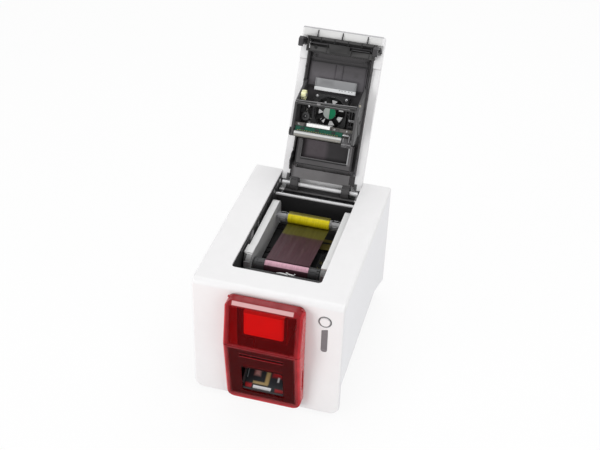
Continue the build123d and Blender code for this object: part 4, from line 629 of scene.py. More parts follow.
# --------------------------------------------------------------------- pieces
class Piece:
    """A mesh gathered from rounded solids, drawn in a local frame in millimetres."""

    def __init__(self, name, body, place=WORLD, bevel=0.25):
        self.name, self.body, self.place, self.bevel = name, body, place, bevel
        self.mesh = bmesh.new()
        self.looks = []

    def solid(self, points, faces, look, bevel=None):
        bevel = self.bevel if bevel is None else bevel
        if look not in self.looks:
            self.looks.append(look)
        part = bmesh.new()
        made = [part.verts.new(self.place @ Vector(p)) for p in points]
        for corners in faces:
            part.faces.new([made[i] for i in corners])
        bmesh.ops.recalc_face_normals(part, faces=part.faces[:])
        if bevel:
            part.normal_update()
            sharp = [
                e for e in part.edges if len(e.link_faces) == 2 and e.calc_face_angle(0) > 0.6
            ]
            bmesh.ops.bevel(
                part, geom=sharp, offset=bevel * MM, segments=2, profile=0.6, clamp_overlap=True
            )
        for face in part.faces:
            face.material_index = self.looks.index(look)
        held = bpy.data.meshes.new("held")
        part.to_mesh(held)
        part.free()
        self.mesh.from_mesh(held)
        bpy.data.meshes.remove(held)
        return self

    def prism(self, outline, low, high, look, along="z", bevel=None):
        """An outline in the plane across one axis, drawn out along that axis."""
        turn = {"x": lambda u, v, w: (w, u, v), "y": lambda u, v, w: (u, w, v)}
        spot = turn.get(along, lambda u, v, w: (u, v, w))
        n = len(outline)
        points = [spot(u, v, w) for w in (low, high) for u, v in outline]
        faces = [list(range(n)), list(range(n, 2 * n))]
        faces += [(i, (i + 1) % n, n + (i + 1) % n, n + i) for i in range(n)]
        return self.solid(points, faces, look, bevel)

    def box(self, x, y, z, look, bevel=None):
        outline = [(x[0], y[0]), (x[1], y[0]), (x[1], y[1]), (x[0], y[1])]
        return self.prism(outline, z[0], z[1], look, "z", bevel)

    def turned(self, start, heading, profile, look, sides=28, closed=False):
        """A profile of (distance along, radius) turned about an axis."""
        start, heading = Vector(start), Vector(heading).normalized()
        across = heading.orthogonal().normalized()
        beside = heading.cross(across)
        points, faces = [], []
        for along, radius in profile:
            for k in range(sides):
                a = 2 * math.pi * k / sides
                rim = across * math.cos(a) + beside * math.sin(a)
                points.append(start + heading * along + rim * radius)
        rows = len(profile)
        for i in range(rows if closed else rows - 1):
            j = (i + 1) % rows
            for k in range(sides):
                m = (k + 1) % sides
                faces.append((i * sides + k, i * sides + m, j * sides + m, j * sides + k))
        if not closed:
            faces.append(list(range(sides)))
            faces.append([(rows - 1) * sides + k for k in range(sides)])
        return self.solid(points, faces, look, 0)

    def rod(self, start, end, radius, look, round_off=0.3, sides=28):
        start, end = Vector(start), Vector(end)
        length = (end - start).length
        r = min(round_off, radius * 0.5, length * 0.4)
        profile = [(0, radius - r), (0.3 * r, radius - 0.3 * r), (r, radius)]
        profile += [(length - r, radius), (length - 0.3 * r, radius - 0.3 * r), (length, radius - r)]
        return self.turned(start, end - start, profile, look, sides)

    def ring(self, centre, heading, radius, wire, look, sides=36, rows=10):
        steps = [2 * math.pi * i / rows for i in range(rows)]
        profile = [(wire * math.sin(a), radius + wire * math.cos(a)) for a in steps]
        return self.turned(centre, heading, profile, look, sides, closed=True)

    def tube(self, path, radius, look, sides=10):
        path = [Vector(p) for p in path]
        last = len(path) - 1
        points, faces, across = [], [], None
        for i, p in enumerate(path):
            heading = (path[min(i + 1, last)] - path[max(i - 1, 0)]).normalized()
            across = heading.orthogonal() if across is None else across
            across = (across - heading * across.dot(heading)).normalized()
            beside = heading.cross(across)
            for k in range(sides):
                a = 2 * math.pi * k / sides
                points.append(p + (across * math.cos(a) + beside * math.sin(a)) * radius)
        for i in range(last):
            for k in range(sides):
                m, j = (k + 1) % sides, i + 1
                faces.append((i * sides + k, i * sides + m, j * sides + m, j * sides + k))
        faces += [list(range(sides)), [last * sides + k for k in range(sides)]]
        return self.solid(points, faces, look, 0)

    def spring(self, start, end, radius, wire, turns, look, steps=16):
        start, end = Vector(start), Vector(end)
        heading = (end - start).normalized()
        across = heading.orthogonal().normalized()
        beside = heading.cross(across)
        path = []
        for i in range(int(turns * steps) + 1):
            a = 2 * math.pi * i / steps
            rim = across * math.cos(a) + beside * math.sin(a)
            path.append(start.lerp(end, i / (turns * steps)) + rim * radius)
        return self.tube(path, wire, look, sides=6)

    def screw(self, centre, heading, radius, look="zinc", height=1.2):
        """A domed head with a cross recess."""
        centre, heading = Vector(centre), Vector(heading).normalized()
        steps = [math.pi / 2 * i / 4 for i in range(5)]
        dome = [(0, radius)] + [(height * math.sin(a), radius * math.cos(a) + 0.05) for a in steps]
        self.turned(centre, heading, dome, look)
        across = heading.orthogonal().normalized()
        beside = heading.cross(across)
        top = centre + heading * height
        for one, two in ((across, beside), (beside, across)):
            corners = [
                top + one * (i * radius * 0.55) + two * (j * radius * 0.12) + heading * k * 0.12
                for k in (-1, 1)
                for i, j in ((-1, -1), (1, -1), (1, 1), (-1, 1))
            ]
            sides = [(i, (i + 1) % 4, 4 + (i + 1) % 4, 4 + i) for i in range(4)]
            self.solid(corners, [(0, 1, 2, 3), (4, 5, 6, 7)] + sides, "black", 0)
        return self

    def wire(self, path, radius, look, steps=6):
        """A thin lead along a smooth line through its points."""
        path = [Vector(p) for p in path]
        ends = [2 * path[0] - path[1]] + path + [2 * path[-1] - path[-2]]
        line = []
        for i in range(1, len(ends) - 2):
            a, b, c, d = ends[i - 1 : i + 3]
            for k in range(steps):
                t = k / steps
                near = 2 * b + t * (c - a) + t * t * (2 * a - 5 * b + 4 * c - d)
                line.append(0.5 * (near + t ** 3 * (3 * b - a - 3 * c + d)))
        line.append(path[-1])
        return self.tube(line, radius, look, sides=8)

    def done(self):
        mesh = bpy.data.meshes.new(self.name)
        self.mesh.to_mesh(mesh)
        self.mesh.free()
        for look in self.looks:
            mesh.materials.append(M[look])
        mesh.polygons.foreach_set("use_smooth", [True] * len(mesh.polygons))
        mesh.set_sharp_from_angle(angle=0.6)
        obj = bpy.data.objects.new(self.name, mesh)
        bpy.context.scene.collection.objects.link(obj)
        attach(obj, self.body)
        return obj


# ------------------------------------------------------------------ lid pieces
def ledge_ribs():
    """Gussets from the latch bar out onto the lid's front ledge."""
    low, high = extent("lid_shell", LID)
    foot, bar_front = high.z - 0.2, extent("lid_front_bar", LID)[1].y
    p = Piece("lid_ledge_ribs", "lid", LID, 0.15)
    for middle, half in ((-36.4, 0.55), (-0.2, 0.7), (36.6, 0.65)):
        outline = [(bar_front - 1, foot), (bar_front + 10, foot), (bar_front + 10, foot + 0.5)]
        outline += [(bar_front + 1, foot + 4.6), (bar_front - 1, foot + 4.6)]
        p.prism(outline, middle - half, middle + half, "dark", "x")
    # a shallow lip that runs round the ledge's edge
    edge, top = high.y - 1.9, high.z
    p.box((low.x + 3, high.x - 3), (edge - 0.5, edge + 0.5), (top - 0.3, top + 0.18), "white_lid", 0.15)
    p.done()


def latch_bar_face():
    """Ribs, panels and the raised block on the bar that carries the latch shaft."""
    low, high = extent("lid_front_bar", LID)
    face = 21.0
    p = Piece("latch_bar_face", "lid", LID, 0.35)
    p.prism([(-18, 207.4), (13.2, 207.6), (14, 194.4), (-14.6, 194.4)], face - 0.4, face + 2.0, "bar")
    p.prism([(-15.6, 205.4), (11.2, 205.6), (11.8, 196.4), (-12.8, 196.4)], face, face + 2.5, "bar", bevel=0.2)
    for left, right, top in ((-45.6, -19.5, 206.6), (16.0, 42.6, 204.4)):
        # painted highlight: the top edge of each panel outline is lighter than its other edges
        p.box((left, right), (top - 0.8, top), (face - 0.3, face + 0.7), "grey", 0.2)
        p.box((left, right), (194.6, 195.3), (face - 0.3, face + 0.5), "bar", 0.15)
        p.box((left, left + 0.8), (195, top), (face - 0.3, face + 0.6), "bar", 0.15)
        p.box((right - 0.8, right), (195, top), (face - 0.3, face + 0.6), "bar", 0.15)
    p.ring((-36.3, 200.6, face), (0, 0, 1), 2.3, 0.45, "bar")
    # painted shade: a black disc inside the ring stands in for the dark of a hole
    p.turned((-36.3, 200.6, face - 0.2), (0, 0, 1), [(0, 2.1), (0.32, 2.1), (0.34, 1.9)], "black")
    # shaft bearings and the channel's cross ribs
    for x in (-47.5, -30, -10, 10, 30, 47.5):
        p.box((x - 0.8, x + 0.8), (208.4, 214.6), (face - 2.5, face + 0.4), "black", 0.25)
    for x in (-44.5, 44.5):
        p.ring((x, 207.0, 17.0), (1, 0, 0), 3.0, 0.9, "dark")
    # side shoulders that step down to the lid's rim
    for side in (-1, 1):
        ends = sorted((side * 46.2, side * 50.0))
        p.box(ends, (196, 204), (face - 1.5, face + 0.9), "bar", 0.4)
    p.done()
    spring = Piece("latch_spring", "lid", LID)
    spring.spring((-49.8, 207.0, 17.0), (-46.2, 207.0, 17.0), 3.1, 0.35, 5, "steel")
    spring.wire([(-46.2, 207, 20.1), (-45.6, 203, 21.3), (-45.4, 198, 22.0)], 0.35, "steel")
    spring.wire([(46.4, 207, 20.1), (49.5, 205, 21.6), (50.3, 201, 22.2)], 0.35, "steel")
    spring.done()


def latch_hooks():
    """Ribs, caps and a pin on the two hooks."""
    low, high = extent("latch_bar", LID)
    p = Piece("latch_hook_ribs", "latches", LID, 0.3)
    for side in (-1, 1):
        outer = side * (high.x - 1.0)
        ends = sorted((side * 51.6, outer))
        # two fingers in front of the eye, with gaps between
        for s, t in ((212.0, 21.5), (206.5, 26.5)):
            p.box(ends, (s - 1.0, s + 1.0), (t - 2.6, t + 2.6), "dark", 0.4)
        p.turned((side * 57.4, 207.0, 17.0), (side, 0, 0), [(0, 3.1), (0.6, 3.1), (0.9, 2.7), (1.0, 1.4)], "grey")
        # the drum round the shaft's end
        drum = [(51.8, 4.0), (52.4, 5.0), (54.2, 5.0), (54.5, 4.2), (55.2, 4.2), (55.5, 5.2), (57.3, 5.2), (57.7, 4.6)]
        p.turned((0, 207.0, 17.0), (side, 0, 0), drum, "dark", 40)
        for x, radius in ((52.6, 4.9), (55.8, 5.1), (57.5, 4.6)):
            p.ring((side * x, 207.0, 17.0), (side, 0, 0), radius, 0.3, "grey", 40)
    p.rod((58.2, 205.4, 20.6), (59.9, 205.4, 20.6), 0.9, "grey")
    p.done()


def lid_frame_trim():
    """Clips, seams and ribs on the lid's inner frame."""
    low, high = extent("lid_inner_frame", LID)
    p = Piece("lid_frame_clips", "lid", LID, 0.25)
    for side in (-1, 1):
        for s in (30, 52, 76, 100, 124, 152, 172):
            ends = sorted((side * (high.x - 2.6), side * (high.x - 0.1)))
            p.box(ends, (s - 1.6, s + 1.6), (13.6, 16.4), "dark", 0.35)
        # a rib along the frame's inner edge
        ends = sorted((side * 44.2, side * 45.2))
        p.box(ends, (146, 192), (12.0, 15.4), "panel", 0.3)
    for x, width in ((-4.6, 0.45), (6.4, 0.45), (-41.5, 0.4), (39.8, 0.4)):
        p.box((x - width, x + width), (147, 180.4), (9.6, 10.8), "panel", 0.2)
    p.box((-43.6, 43.6), (180.4, 181.4), (9.6, 12.9), "dark", 0.3)
    p.box((-43.6, 43.6), (185.6, 186.4), (12.2, 13.0), "panel", 0.2)
    for x in (-38, 38):
        p.screw((x, 188.6, 12.5), (0, 0, 1), 1.9, "grey", 0.7)
    p.box((-44.2, 44.2), (146.0, 147.0), (9.6, 11.4), "dark", 0.3)
    p.done()


def recess_trim():
    """The framed recess below the print head, and the panel under it."""
    p = Piece("recess_frame", "lid", LID, 0.3)
    # the lip and the two posts, lighter on the right
    p.box((-35.2, 35.2), (40.2, 41.4), (20.6, 22.9), "grey", 0.35)
    p.box((-36.0, -34.8), (41, 69), (20.6, 23.0), "grey", 0.35)
    p.box((34.8, 36.4), (41, 69), (20.6, 23.2), "axle", 0.4)
    p.box((-34.6, 34.8), (41.3, 41.8), (21.8, 23.0), "midgrey", 0.2)
    p.box((-34.4, -33.9), (42, 66), (21.8, 22.9), "midgrey", 0.2)
    p.box((-41.4, -40.2), (31.4, 68), (21.4, 22.6), "dark", 0.25)
    p.box((40.2, 41.4), (31.4, 68), (21.4, 22.6), "dark", 0.25)
    # shadow gap under the lip
    p.box((-34.6, 34.6), (38.6, 40.3), (21.4, 22.15), "black", 0.1)
    p.box((-40.6, 40.6), (31.3, 32.5), (21.3, 22.1), "black", 0.1)
    # the recess floor: ribs and a square port
    for x in (-21, -8, 5, 14, 25):
        p.box((x - 0.35, x + 0.35), (42, 72), (5.2, 6.1), "panel", 0.15)
    p.box((-34.6, -24.6), (61.4, 62.2), (5.2, 7.4), "dark", 0.2)
    p.box((-25.2, -24.4), (61.4, 70), (5.2, 7.4), "dark", 0.2)
    p.done()
    q = Piece("lid_lower_panel_trim", "lid", LID, 0.25)
    q.box((-31.5, 31.5), (11.6, 12.4), (14.0, 14.95), "panel", 0.2)
    for x in (-27, 27):
        q.ring((x, 21.5, 14.5), (0, 0, 1), 2.4, 0.22, "panel")
    for x in (-38.5, 38.5):
        q.box((x - 5.2, x + 5.2), (-3.2, -2.2), (14, 21.5), "dark", 0.3)
        q.box((x - 0.5, x + 0.5), (2.5, 29), (14.2, 16.2), "dark", 0.3)
        q.ring((x - 5.4, 0, 12.0), (1, 0, 0), 4.4, 0.7, "dark")
        q.ring((x + 5.4, 0, 12.0), (1, 0, 0), 4.4, 0.7, "dark")
    q.done()
    arm = Piece("lid_stop_arm", "lid", LID, 0.3)
    arm.prism([(21, 14.5), (48, 14.5), (48, 18), (44, 23.5), (26, 25.5), (21, 22)], -48.2, -46.6, "dark", "x")
    arm.prism([(33, 20), (38, 24.6), (34, 28.2), (29, 26.0)], -48.2, -46.6, "dark", "x")
    arm.box((-48.2, -45.6), (33, 34.2), (14.5, 22.5), "grey", 0.3)
    arm.rod((-48.3, 40, 19), (-45.4, 40, 19), 1.5, "grey")
    arm.done()


def sensor_plate_trim():
    low, high = extent("sensor_plate", LID)
    p = Piece("sensor_plate_trim", "lid", LID, 0.15)
    top = high.z
    for x in (6.0, 9.5, 14.0, 19.5, 24.0):
        p.box((x, x + 2.2), (143.9, 144.5), (top - 0.9, top + 0.12), "grey", 0.05)
    for x in (-29.9, 29.0):
        p.box((x, x + 0.9), (141, 157.5), (top - 1.0, top + 0.2), "pale", 0.2)
    p.done()


def wheel_trim():
    p = Piece("release_wheel_hub", "wheel", LID, 0.15)
    centre = (extent("release_wheel", LID)[0] + extent("release_wheel", LID)[1]) / 2
    for k in range(18):
        a = 2 * math.pi * k / 18
        y, z = centre.y + 6.75 * math.cos(a), centre.z + 6.75 * math.sin(a)
        p.rod((-42.0, y, z), (-36.2, y, z), 0.4, "cream", 0.15, 8)
    p.ring((-36.1, centre.y, centre.z), (1, 0, 0), 4.6, 0.45, "cream")
    p.turned((-36.2, centre.y, centre.z), (1, 0, 0), [(0, 2.4), (0.9, 2.4), (1.2, 2.0), (1.2, 0.8)], "midgrey")
    p.done()


def fan_trim():
    """Hub label, guard, leads, and a white disc behind the blades that glows as painted light."""
    centre = (0.0, 111.0)
    label = Piece("fan_hub_label", "fan", LID, 0)
    rotor_top = extent("fan_rotor", LID)[1].z
    for side, look in ((-1, "silver"), (1, "label_green")):
        steps = [math.pi * (i / 16 - 0.5) for i in range(17)]
        arc = [(centre[0] + side * 9.0 * math.cos(a), centre[1] + 9.0 * math.sin(a)) for a in steps]
        label.prism(arc, rotor_top - 0.1, rotor_top + 0.14, look, bevel=0)
    label.ring((*centre, rotor_top), (0, 0, 1), 9.2, 0.3, "gloss")
    label.done()
    # painted light: a glowing white disc behind the blades, standing in for light seen through the vent
    vent = Piece("fan_vent_painted_light_disc", "lid", LID, 0)
    vent.turned((*centre, 17.0), (0, 0, 1), [(0, 22.4), (0.5, 22.4), (0.6, 21.8)], "bright", 48)
    vent.done()
    guard = Piece("fan_guard", "lid", LID, 0.3)
    top = extent("fan_frame", LID)[1].z
    guard.ring((*centre, top - 0.2), (0, 0, 1), 23.6, 0.7, "dark", 56)
    guard.turned((*centre, 18.2), (0, 0, 1), [(0, 18.6), (0.5, 18.2), (0.9, 18.6), (0.9, 22.3), (0, 22.3)], "black", 56, closed=True)
    guard.turned((*centre, 18.2), (0, 0, 1), [(0, 9.0), (0.4, 9.0), (0.5, 11.8), (0, 11.8)], "black", 56, closed=True)
    for x, y in ((-21.5, 89.5), (21.5, 89.5), (-21.5, 132.5), (21.5, 132.5)):
        guard.ring((x, y, top), (0, 0, 1), 2.6, 0.4, "dark")
        guard.screw((x, y, top - 0.2), (0, 0, 1), 1.9, "zinc", 0.9)
    guard.done()
    leads = Piece("fan_leads", "lid", LID, 0)
    for k, look in enumerate(("wire_red", "wire_black", "wire_white")):
        shift = 1.3 * k
        leads.wire(
            [(-20, 94 + shift, 24), (-27, 96 + shift, 25 + k * 0.4), (-33, 102 + shift, 22), (-38, 112 + shift, 16)],
            0.55, look,
        )
    leads.done()


def cradle_parts():
    """Gears, ribs, cross bar lines and small parts between the cradle's cheeks."""
    p = Piece("cradle_cross_lines", "lid", LID, 0.2)
    top = 58.6
    p.wire([(-45.8, 122.9, top), (0, 124.4, top), (43, 126.0, top)], 0.55, "midgrey", 3)
    p.wire([(-45.8, 120.3, top), (0, 120.4, top), (34, 120.5, top)], 0.45, "midgrey", 3)
    p.box((-14, -9), (119.8, 122.8), (top - 0.4, top + 0.7), "midgrey", 0.4)
    p.rod((45.8, 128.0, top - 1.6), (48.1, 128.0, top - 1.6), 1.6, "beige")
    for side in (-1, 1):
        ends = sorted((side * 40.6, side * 42.6))
        p.box(ends, (117, 128), (top - 3.4, top + 0.3), "dark", 0.4)
    p.done()
    g = Piece("cradle_gears", "lid", LID, 0.2)
    for (x, s, t), radius, teeth in (((-33.5, 101, 33), 6.4, 20), ((-27.0, 92.5, 31), 3.6, 12)):
        steps = []
        for k in range(teeth):
            for share, r in ((0.0, radius - 0.7), (0.3, radius - 0.5), (0.42, radius), (0.62, radius), (0.75, radius - 0.5)):
                a = 2 * math.pi * (k + share) / teeth
                steps.append((x + r * math.cos(a), s + r * math.sin(a)))
        g.prism(steps, t - 3, t, "gloss", bevel=0)
        g.turned((x, s, t - 0.1), (0, 0, 1), [(0, radius * 0.45), (1.0, radius * 0.42), (1.2, radius * 0.3), (1.2, 0.6)], "dark")
        g.rod((x, s, t - 10), (x, s, t + 2.2), 0.9, "zinc")
    g.box((-40, -24), (86.5, 106), (22, 26), "black", 0.5)
    g.box((-41, -36), (106, 116), (20, 34), "black", 0.5)
    g.screw((-31.5, 115.5, 30), (0, 0, 1), 1.8, "zinc", 1.0)
    g.rod((-31.5, 115.5, 18), (-31.5, 115.5, 30), 2.6, "dark")
    for x in (28.5, 32.5, 36.5):
        g.box((x, x + 1.2), (88, 122), (20, 30 - abs(x - 32.5) * 0.6), "dark", 0.35)
    g.box((27, 41), (121, 123.5), (18, 30), "black", 0.4)
    g.rod((29.5, 95, 33), (39, 95, 33), 2.2, "dark")
    g.spring((30, 104, 32), (38.5, 104, 32), 1.9, 0.35, 8, "zinc")
    g.done()
    r = Piece("cradle_right_cheek_ribs", "lid", LID, 0.2)
    for s, t0, t1 in ((92, 26, 50), (99, 22, 54), (106, 20, 56), (113, 18, 57)):
        r.box((41.9, 42.7), (s - 0.5, s + 0.5), (t0, t1), "grey", 0.2)
    r.box((41.8, 42.8), (88, 118), (54.5, 56), "grey", 0.3)
    r.box((45.7, 46.6), (84, 148), (16.2, 17.4), "grey", 0.3)
    r.prism([(84, 30), (112, 52), (112, 54), (84, 33)], 45.8, 46.7, "grey", "x", 0.3)
    r.rod((45.6, 104, 30), (46.9, 104, 30), 2.6, "dark")
    r.done()


def head_parts():
    """Screws, contacts, springs and the lever's linkage by the print head."""
    board_top = extent("head_board", LID)[1].z
    p = Piece("head_board_parts", "lid", LID, 0.1)
    for k in range(18):
        x = -38.0 + 3.4 * k
        p.box((x, x + 1.7), (81.0, 81.8), (board_top - 0.1, board_top + 0.22), "gold", 0.04)
    for x in (-33, -12, 12):
        p.box((x, x + 5.5), (83.2, 85.8), (board_top - 0.1, board_top + 0.7), "chip", 0.1)
    p.done()
    head_low, head_high = extent("print_head", LID)
    q = Piece("print_head_edge", "lid", LID, 0.2)
    q.box((head_low.x + 0.6, head_high.x - 0.6), (74.2, 75.0), (head_high.z - 0.3, head_high.z + 0.05), "beige", 0.02)
    q.rod((head_low.x + 1, 79.6, 58.9), (head_high.x - 1, 79.6, 58.9), 0.55, "steel")
    for x in (head_low.x + 3, head_high.x - 3):
        q.screw((x, 77.6, head_high.z - 0.9), (0, 0, 1), 1.3, "zinc", 0.7)
    q.done()
    c = Piece("head_carrier_parts", "lid", LID, 0.25)
    for x in (-37.5, 15.5, 33.5):
        c.screw((x, 89.6, 53.0), (0, 0, 1), 1.6, "zinc", 0.9)
    c.box((-42, -27.5), (91.0, 92.0), (48, 53.9), "carrier", 0.3)
    c.box((11, 42), (91.0, 92.0), (48, 53.9), "carrier", 0.3)
    c.box((17, 22), (86.8, 90.2), (52.9, 54.4), "grey", 0.3)
    for x in (-29.5, -27.0, 10.0):
        c.box((x, x + 1.1), (86.6, 92), (52.9, 53.9), "dark", 0.2)
    # linkage between the head and the right cheek
    c.rod((28.8, 71.0, 57.8), (43.0, 71.0, 57.8), 0.8, "midgrey")
    c.spring((32.0, 71.0, 57.8), (37.5, 71.0, 57.8), 1.4, 0.35, 6, "midgrey")
    c.turned((41.0, 76.5, 54.5), (1, 0, 0), [(0, 3.2), (0.7, 3.4), (1.4, 3.2), (1.4, 1.4)], "midgrey", 32)
    c.box((30.4, 31.6), (74.6, 79.8), (57.2, 59.1), "midgrey", 0.3)
    c.prism([(29.5, 66.6), (33.5, 66.2), (35.0, 68.8), (31.0, 70.2)], 50.5, 56.0, "dark", bevel=0.4)
    c.prism([(37.0, 66.8), (42.4, 67.4), (42.0, 70.4), (38.4, 69.6)], 50.5, 57.0, "grey", bevel=0.4)
    c.spring((30.5, 84, 56.5), (36.5, 84, 56.5), 1.5, 0.32, 7, "zinc")
    c.rod((28.6, 84, 56.5), (42.2, 84, 56.5), 0.8, "zinc")
    c.box((37.8, 42.2), (80.5, 87.5), (53, 58.4), "dark", 0.5)
    c.box((29.2, 31.2), (69.5, 73.5), (49, 55.5), "gloss", 0.4)
    c.rod((36.8, 70.6, 51), (41.6, 70.6, 51), 2.1, "gloss")
    c.prism([(36, 70), (40.5, 69), (41.5, 73), (37, 74.5)], 44.5, 49.6, "dark", bevel=0.4)
    c.box((38.6, 39.8), (75, 84), (58.2, 59.3), "midgrey", 0.3)
    c.done()
    lever = Piece("head_lever_grip", "lever", LID, 0.3)
    low, high = extent("head_lever", LID)
    for k in range(4):
        s = low.y + 1.4 + 1.5 * k
        lever.box((low.x + 0.8, low.x + 7.2), (s - 0.35, s + 0.35), (high.z - 2.2, high.z - 0.1), "midgrey", 0.2)
    lever.rod((low.x + 0.2, 78, 55), (low.x - 0.6, 78, 55), 2.0, "zinc")
    lever.done()
    knob = Piece("head_knob_cap", "knob", LID, 0.2)
    low, high = extent("head_knob", LID)
    middle = (low + high) / 2
    knob.turned((low.x + 0.1, middle.y, middle.z), (-1, 0, 0), [(0, 3.6), (0.1, 3.6), (0.18, 3.2), (0.18, 1)], "grey")
    for k in range(5):
        a = 2 * math.pi * (k + 0.5) / 5
        y, z = middle.y + 4.6 * math.cos(a), middle.z + 4.6 * math.sin(a)
        knob.rod((low.x - 0.1, y, z), (low.x + 1.6, y, z), 1.3, "dark", 0.3, 16)
    knob.done()


for make in (
    ledge_ribs,
    latch_bar_face,
    latch_hooks,
    lid_frame_trim,
    recess_trim,
    sensor_plate_trim,
    wheel_trim,
    fan_trim,
    cradle_parts,
    head_parts,
):
    make()


# ------------------------------------------------------------------ bay pieces
SUPPLY = (extent("supply_ribbon")[0] + extent("supply_ribbon")[1]) / 2
TAKEUP = (extent("takeup_ribbon")[0] + extent("takeup_ribbon")[1]) / 2
FILM_LOW, FILM_HIGH = extent("ribbon_film")
YELLOW, SHADED_YELLOW = (0.74, 0.62, 0.006), (0.115, 0.100, 0.012)
PINK_HIGHLIGHT, MAROON = (0.66, 0.37, 0.46), (0.050, 0.018, 0.025)
# painted light and shade: yellow on the lit front of the supply roll, olive on its dim top and back
M["supply_film"] = film_roll(
    "supply_roll_film", SUPPLY.y, SUPPLY.z,
    ((0.0, YELLOW), (0.30, SHADED_YELLOW), (0.78, SHADED_YELLOW), (0.815, (0.30, 0.25, 0.01)), (0.83, YELLOW), (0.93, YELLOW), (1.0, YELLOW)),
)
# painted highlight: a pink band along the top of the take-up roll
M["takeup_film"] = film_roll(
    "takeup_roll_film", TAKEUP.y, TAKEUP.z,
    ((0.0, MAROON), (0.755, MAROON), (0.765, PINK_HIGHLIGHT), (0.885, PINK_HIGHLIGHT), (0.895, MAROON), (1.0, MAROON)),
)
M["film"] = ribbon_film("dye_film", FILM_LOW.y, FILM_HIGH.y, 0.685)


def film_roll_piece(name, node_name, body, core, look):
    """Wound film: a slightly uneven cylinder whose ends show its layers."""
    low, high = extent(node_name)
    middle, radius = (low + high) / 2, (high.z - low.z) / 2
    half = high.x
    layers = int((radius - core) / 0.35)
    end = [(-half + 0.12 * (k % 2), core + 0.05 + (radius - core - 0.25) * k / layers) for k in range(layers + 1)]
    rows = [(-half + 2 * half * k / 24, radius - 0.05 - 0.015 * math.sin(2.3 * k)) for k in range(1, 24)]
    profile = end + [(-half + 0.25, radius - 0.05)] + rows + [(half - 0.25, radius - 0.05)]
    profile += [(-along, r) for along, r in reversed(end)]
    p = Piece(name, body)
    p.turned((0, middle.y, middle.z), (1, 0, 0), profile, look, 64, closed=True)
    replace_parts(p.done(), node_name)


def film_sheet():
    """The film between the rolls, with faint lengthwise creases."""
    columns, rows, thick = 30, 44, 0.15
    low, high = FILM_LOW, FILM_HIGH
    start = Vector((0, high.y, low.z))
    stop = Vector((0, low.y, high.z - 0.3))
    run = (stop - start).normalized()
    out = Vector((0, run.z, -run.y))
    out = out if out.z > 0 else -out
    points, faces = [], []
    for side in (0, 1):
        for i in range(rows + 1):
            share = i / rows
            for k in range(columns + 1):
                x = low.x + (high.x - low.x) * k / columns
                swell = math.sin(math.pi * share)
                crease = 0.22 * math.sin(0.42 * x + 3.1 * share) + 0.16 * math.sin(0.83 * x - 5.2 * share + 1.0)
                crease += 0.25 * math.sin(0.16 * x + 7.0 * share)
                spot = start.lerp(stop, share) + out * (0.12 + swell * crease + thick * side)
                points.append((x, spot.y, spot.z))
    layer = (rows + 1) * (columns + 1)
    at = lambda side, i, k: side * layer + i * (columns + 1) + k
    for side in (0, 1):
        for i in range(rows):
            for k in range(columns):
                faces.append((at(side, i, k), at(side, i, k + 1), at(side, i + 1, k + 1), at(side, i + 1, k)))
    for i in range(rows):
        for k in (0, columns):
            faces.append((at(0, i, k), at(0, i + 1, k), at(1, i + 1, k), at(1, i, k)))
    for k in range(columns):
        for i in (0, rows):
            faces.append((at(0, i, k), at(0, i, k + 1), at(1, i, k + 1), at(1, i, k)))
    p = Piece("ribbon_film_sheet", "cartridge")
    p.solid(points, faces, "film", 0)
    sheet = p.done()
    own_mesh(sheet)
    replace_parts(sheet, "ribbon_film")
    # painted light: a thin olive strip standing in for yellow light cast through the film onto the card path
    strip = Piece("film_yellow_light_strip", "cartridge", WORLD, 0.12)
    rows = [(18, 45.0), (26, 44.0), (34, 44.6), (40, 44.2), (40, 58.2), (33, 58.6), (25, 57.8), (18, 58.6)]
    strip.prism(rows, 136.4, 136.7, "olive")
    strip = strip.done()
    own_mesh(strip)


def spool_trim():
    s = Piece("supply_spool_rings", "supply")
    for x in (-45.2, -43.6, -33.2, 33.2, 43.6, 45.2):
        s.ring((x, SUPPLY.y, SUPPLY.z), (1, 0, 0), 5.9, 0.3, "axle", 40)
    for side in (-1, 1):
        for k in range(6):
            a = 2 * math.pi * k / 6
            y, z = SUPPLY.y + 5.9 * math.cos(a), SUPPLY.z + 5.9 * math.sin(a)
            ends = sorted((side * 35.0, side * 42.0))
            s.rod((ends[0], y, z), (ends[1], y, z), 0.45, "axle", 0.2, 8)
    s.done()
    t = Piece("takeup_spool_rings", "takeup")
    for x in (-45.4, -41.5, -32.2, 32.2, 41.5, 45.4):
        t.ring((x, TAKEUP.y, TAKEUP.z), (1, 0, 0), 8.75, 0.35, "spool", 48)
    for side in (-1, 1):
        ends = sorted((side * 33.5, side * 40.0))
        for k in range(4):
            a = 2 * math.pi * k / 4 + 0.6
            y, z = TAKEUP.y + 8.7 * math.cos(a), TAKEUP.z + 8.7 * math.sin(a)
            t.rod((ends[0], y, z), (ends[1], y, z), 0.5, "spool", 0.2, 8)
    t.done()


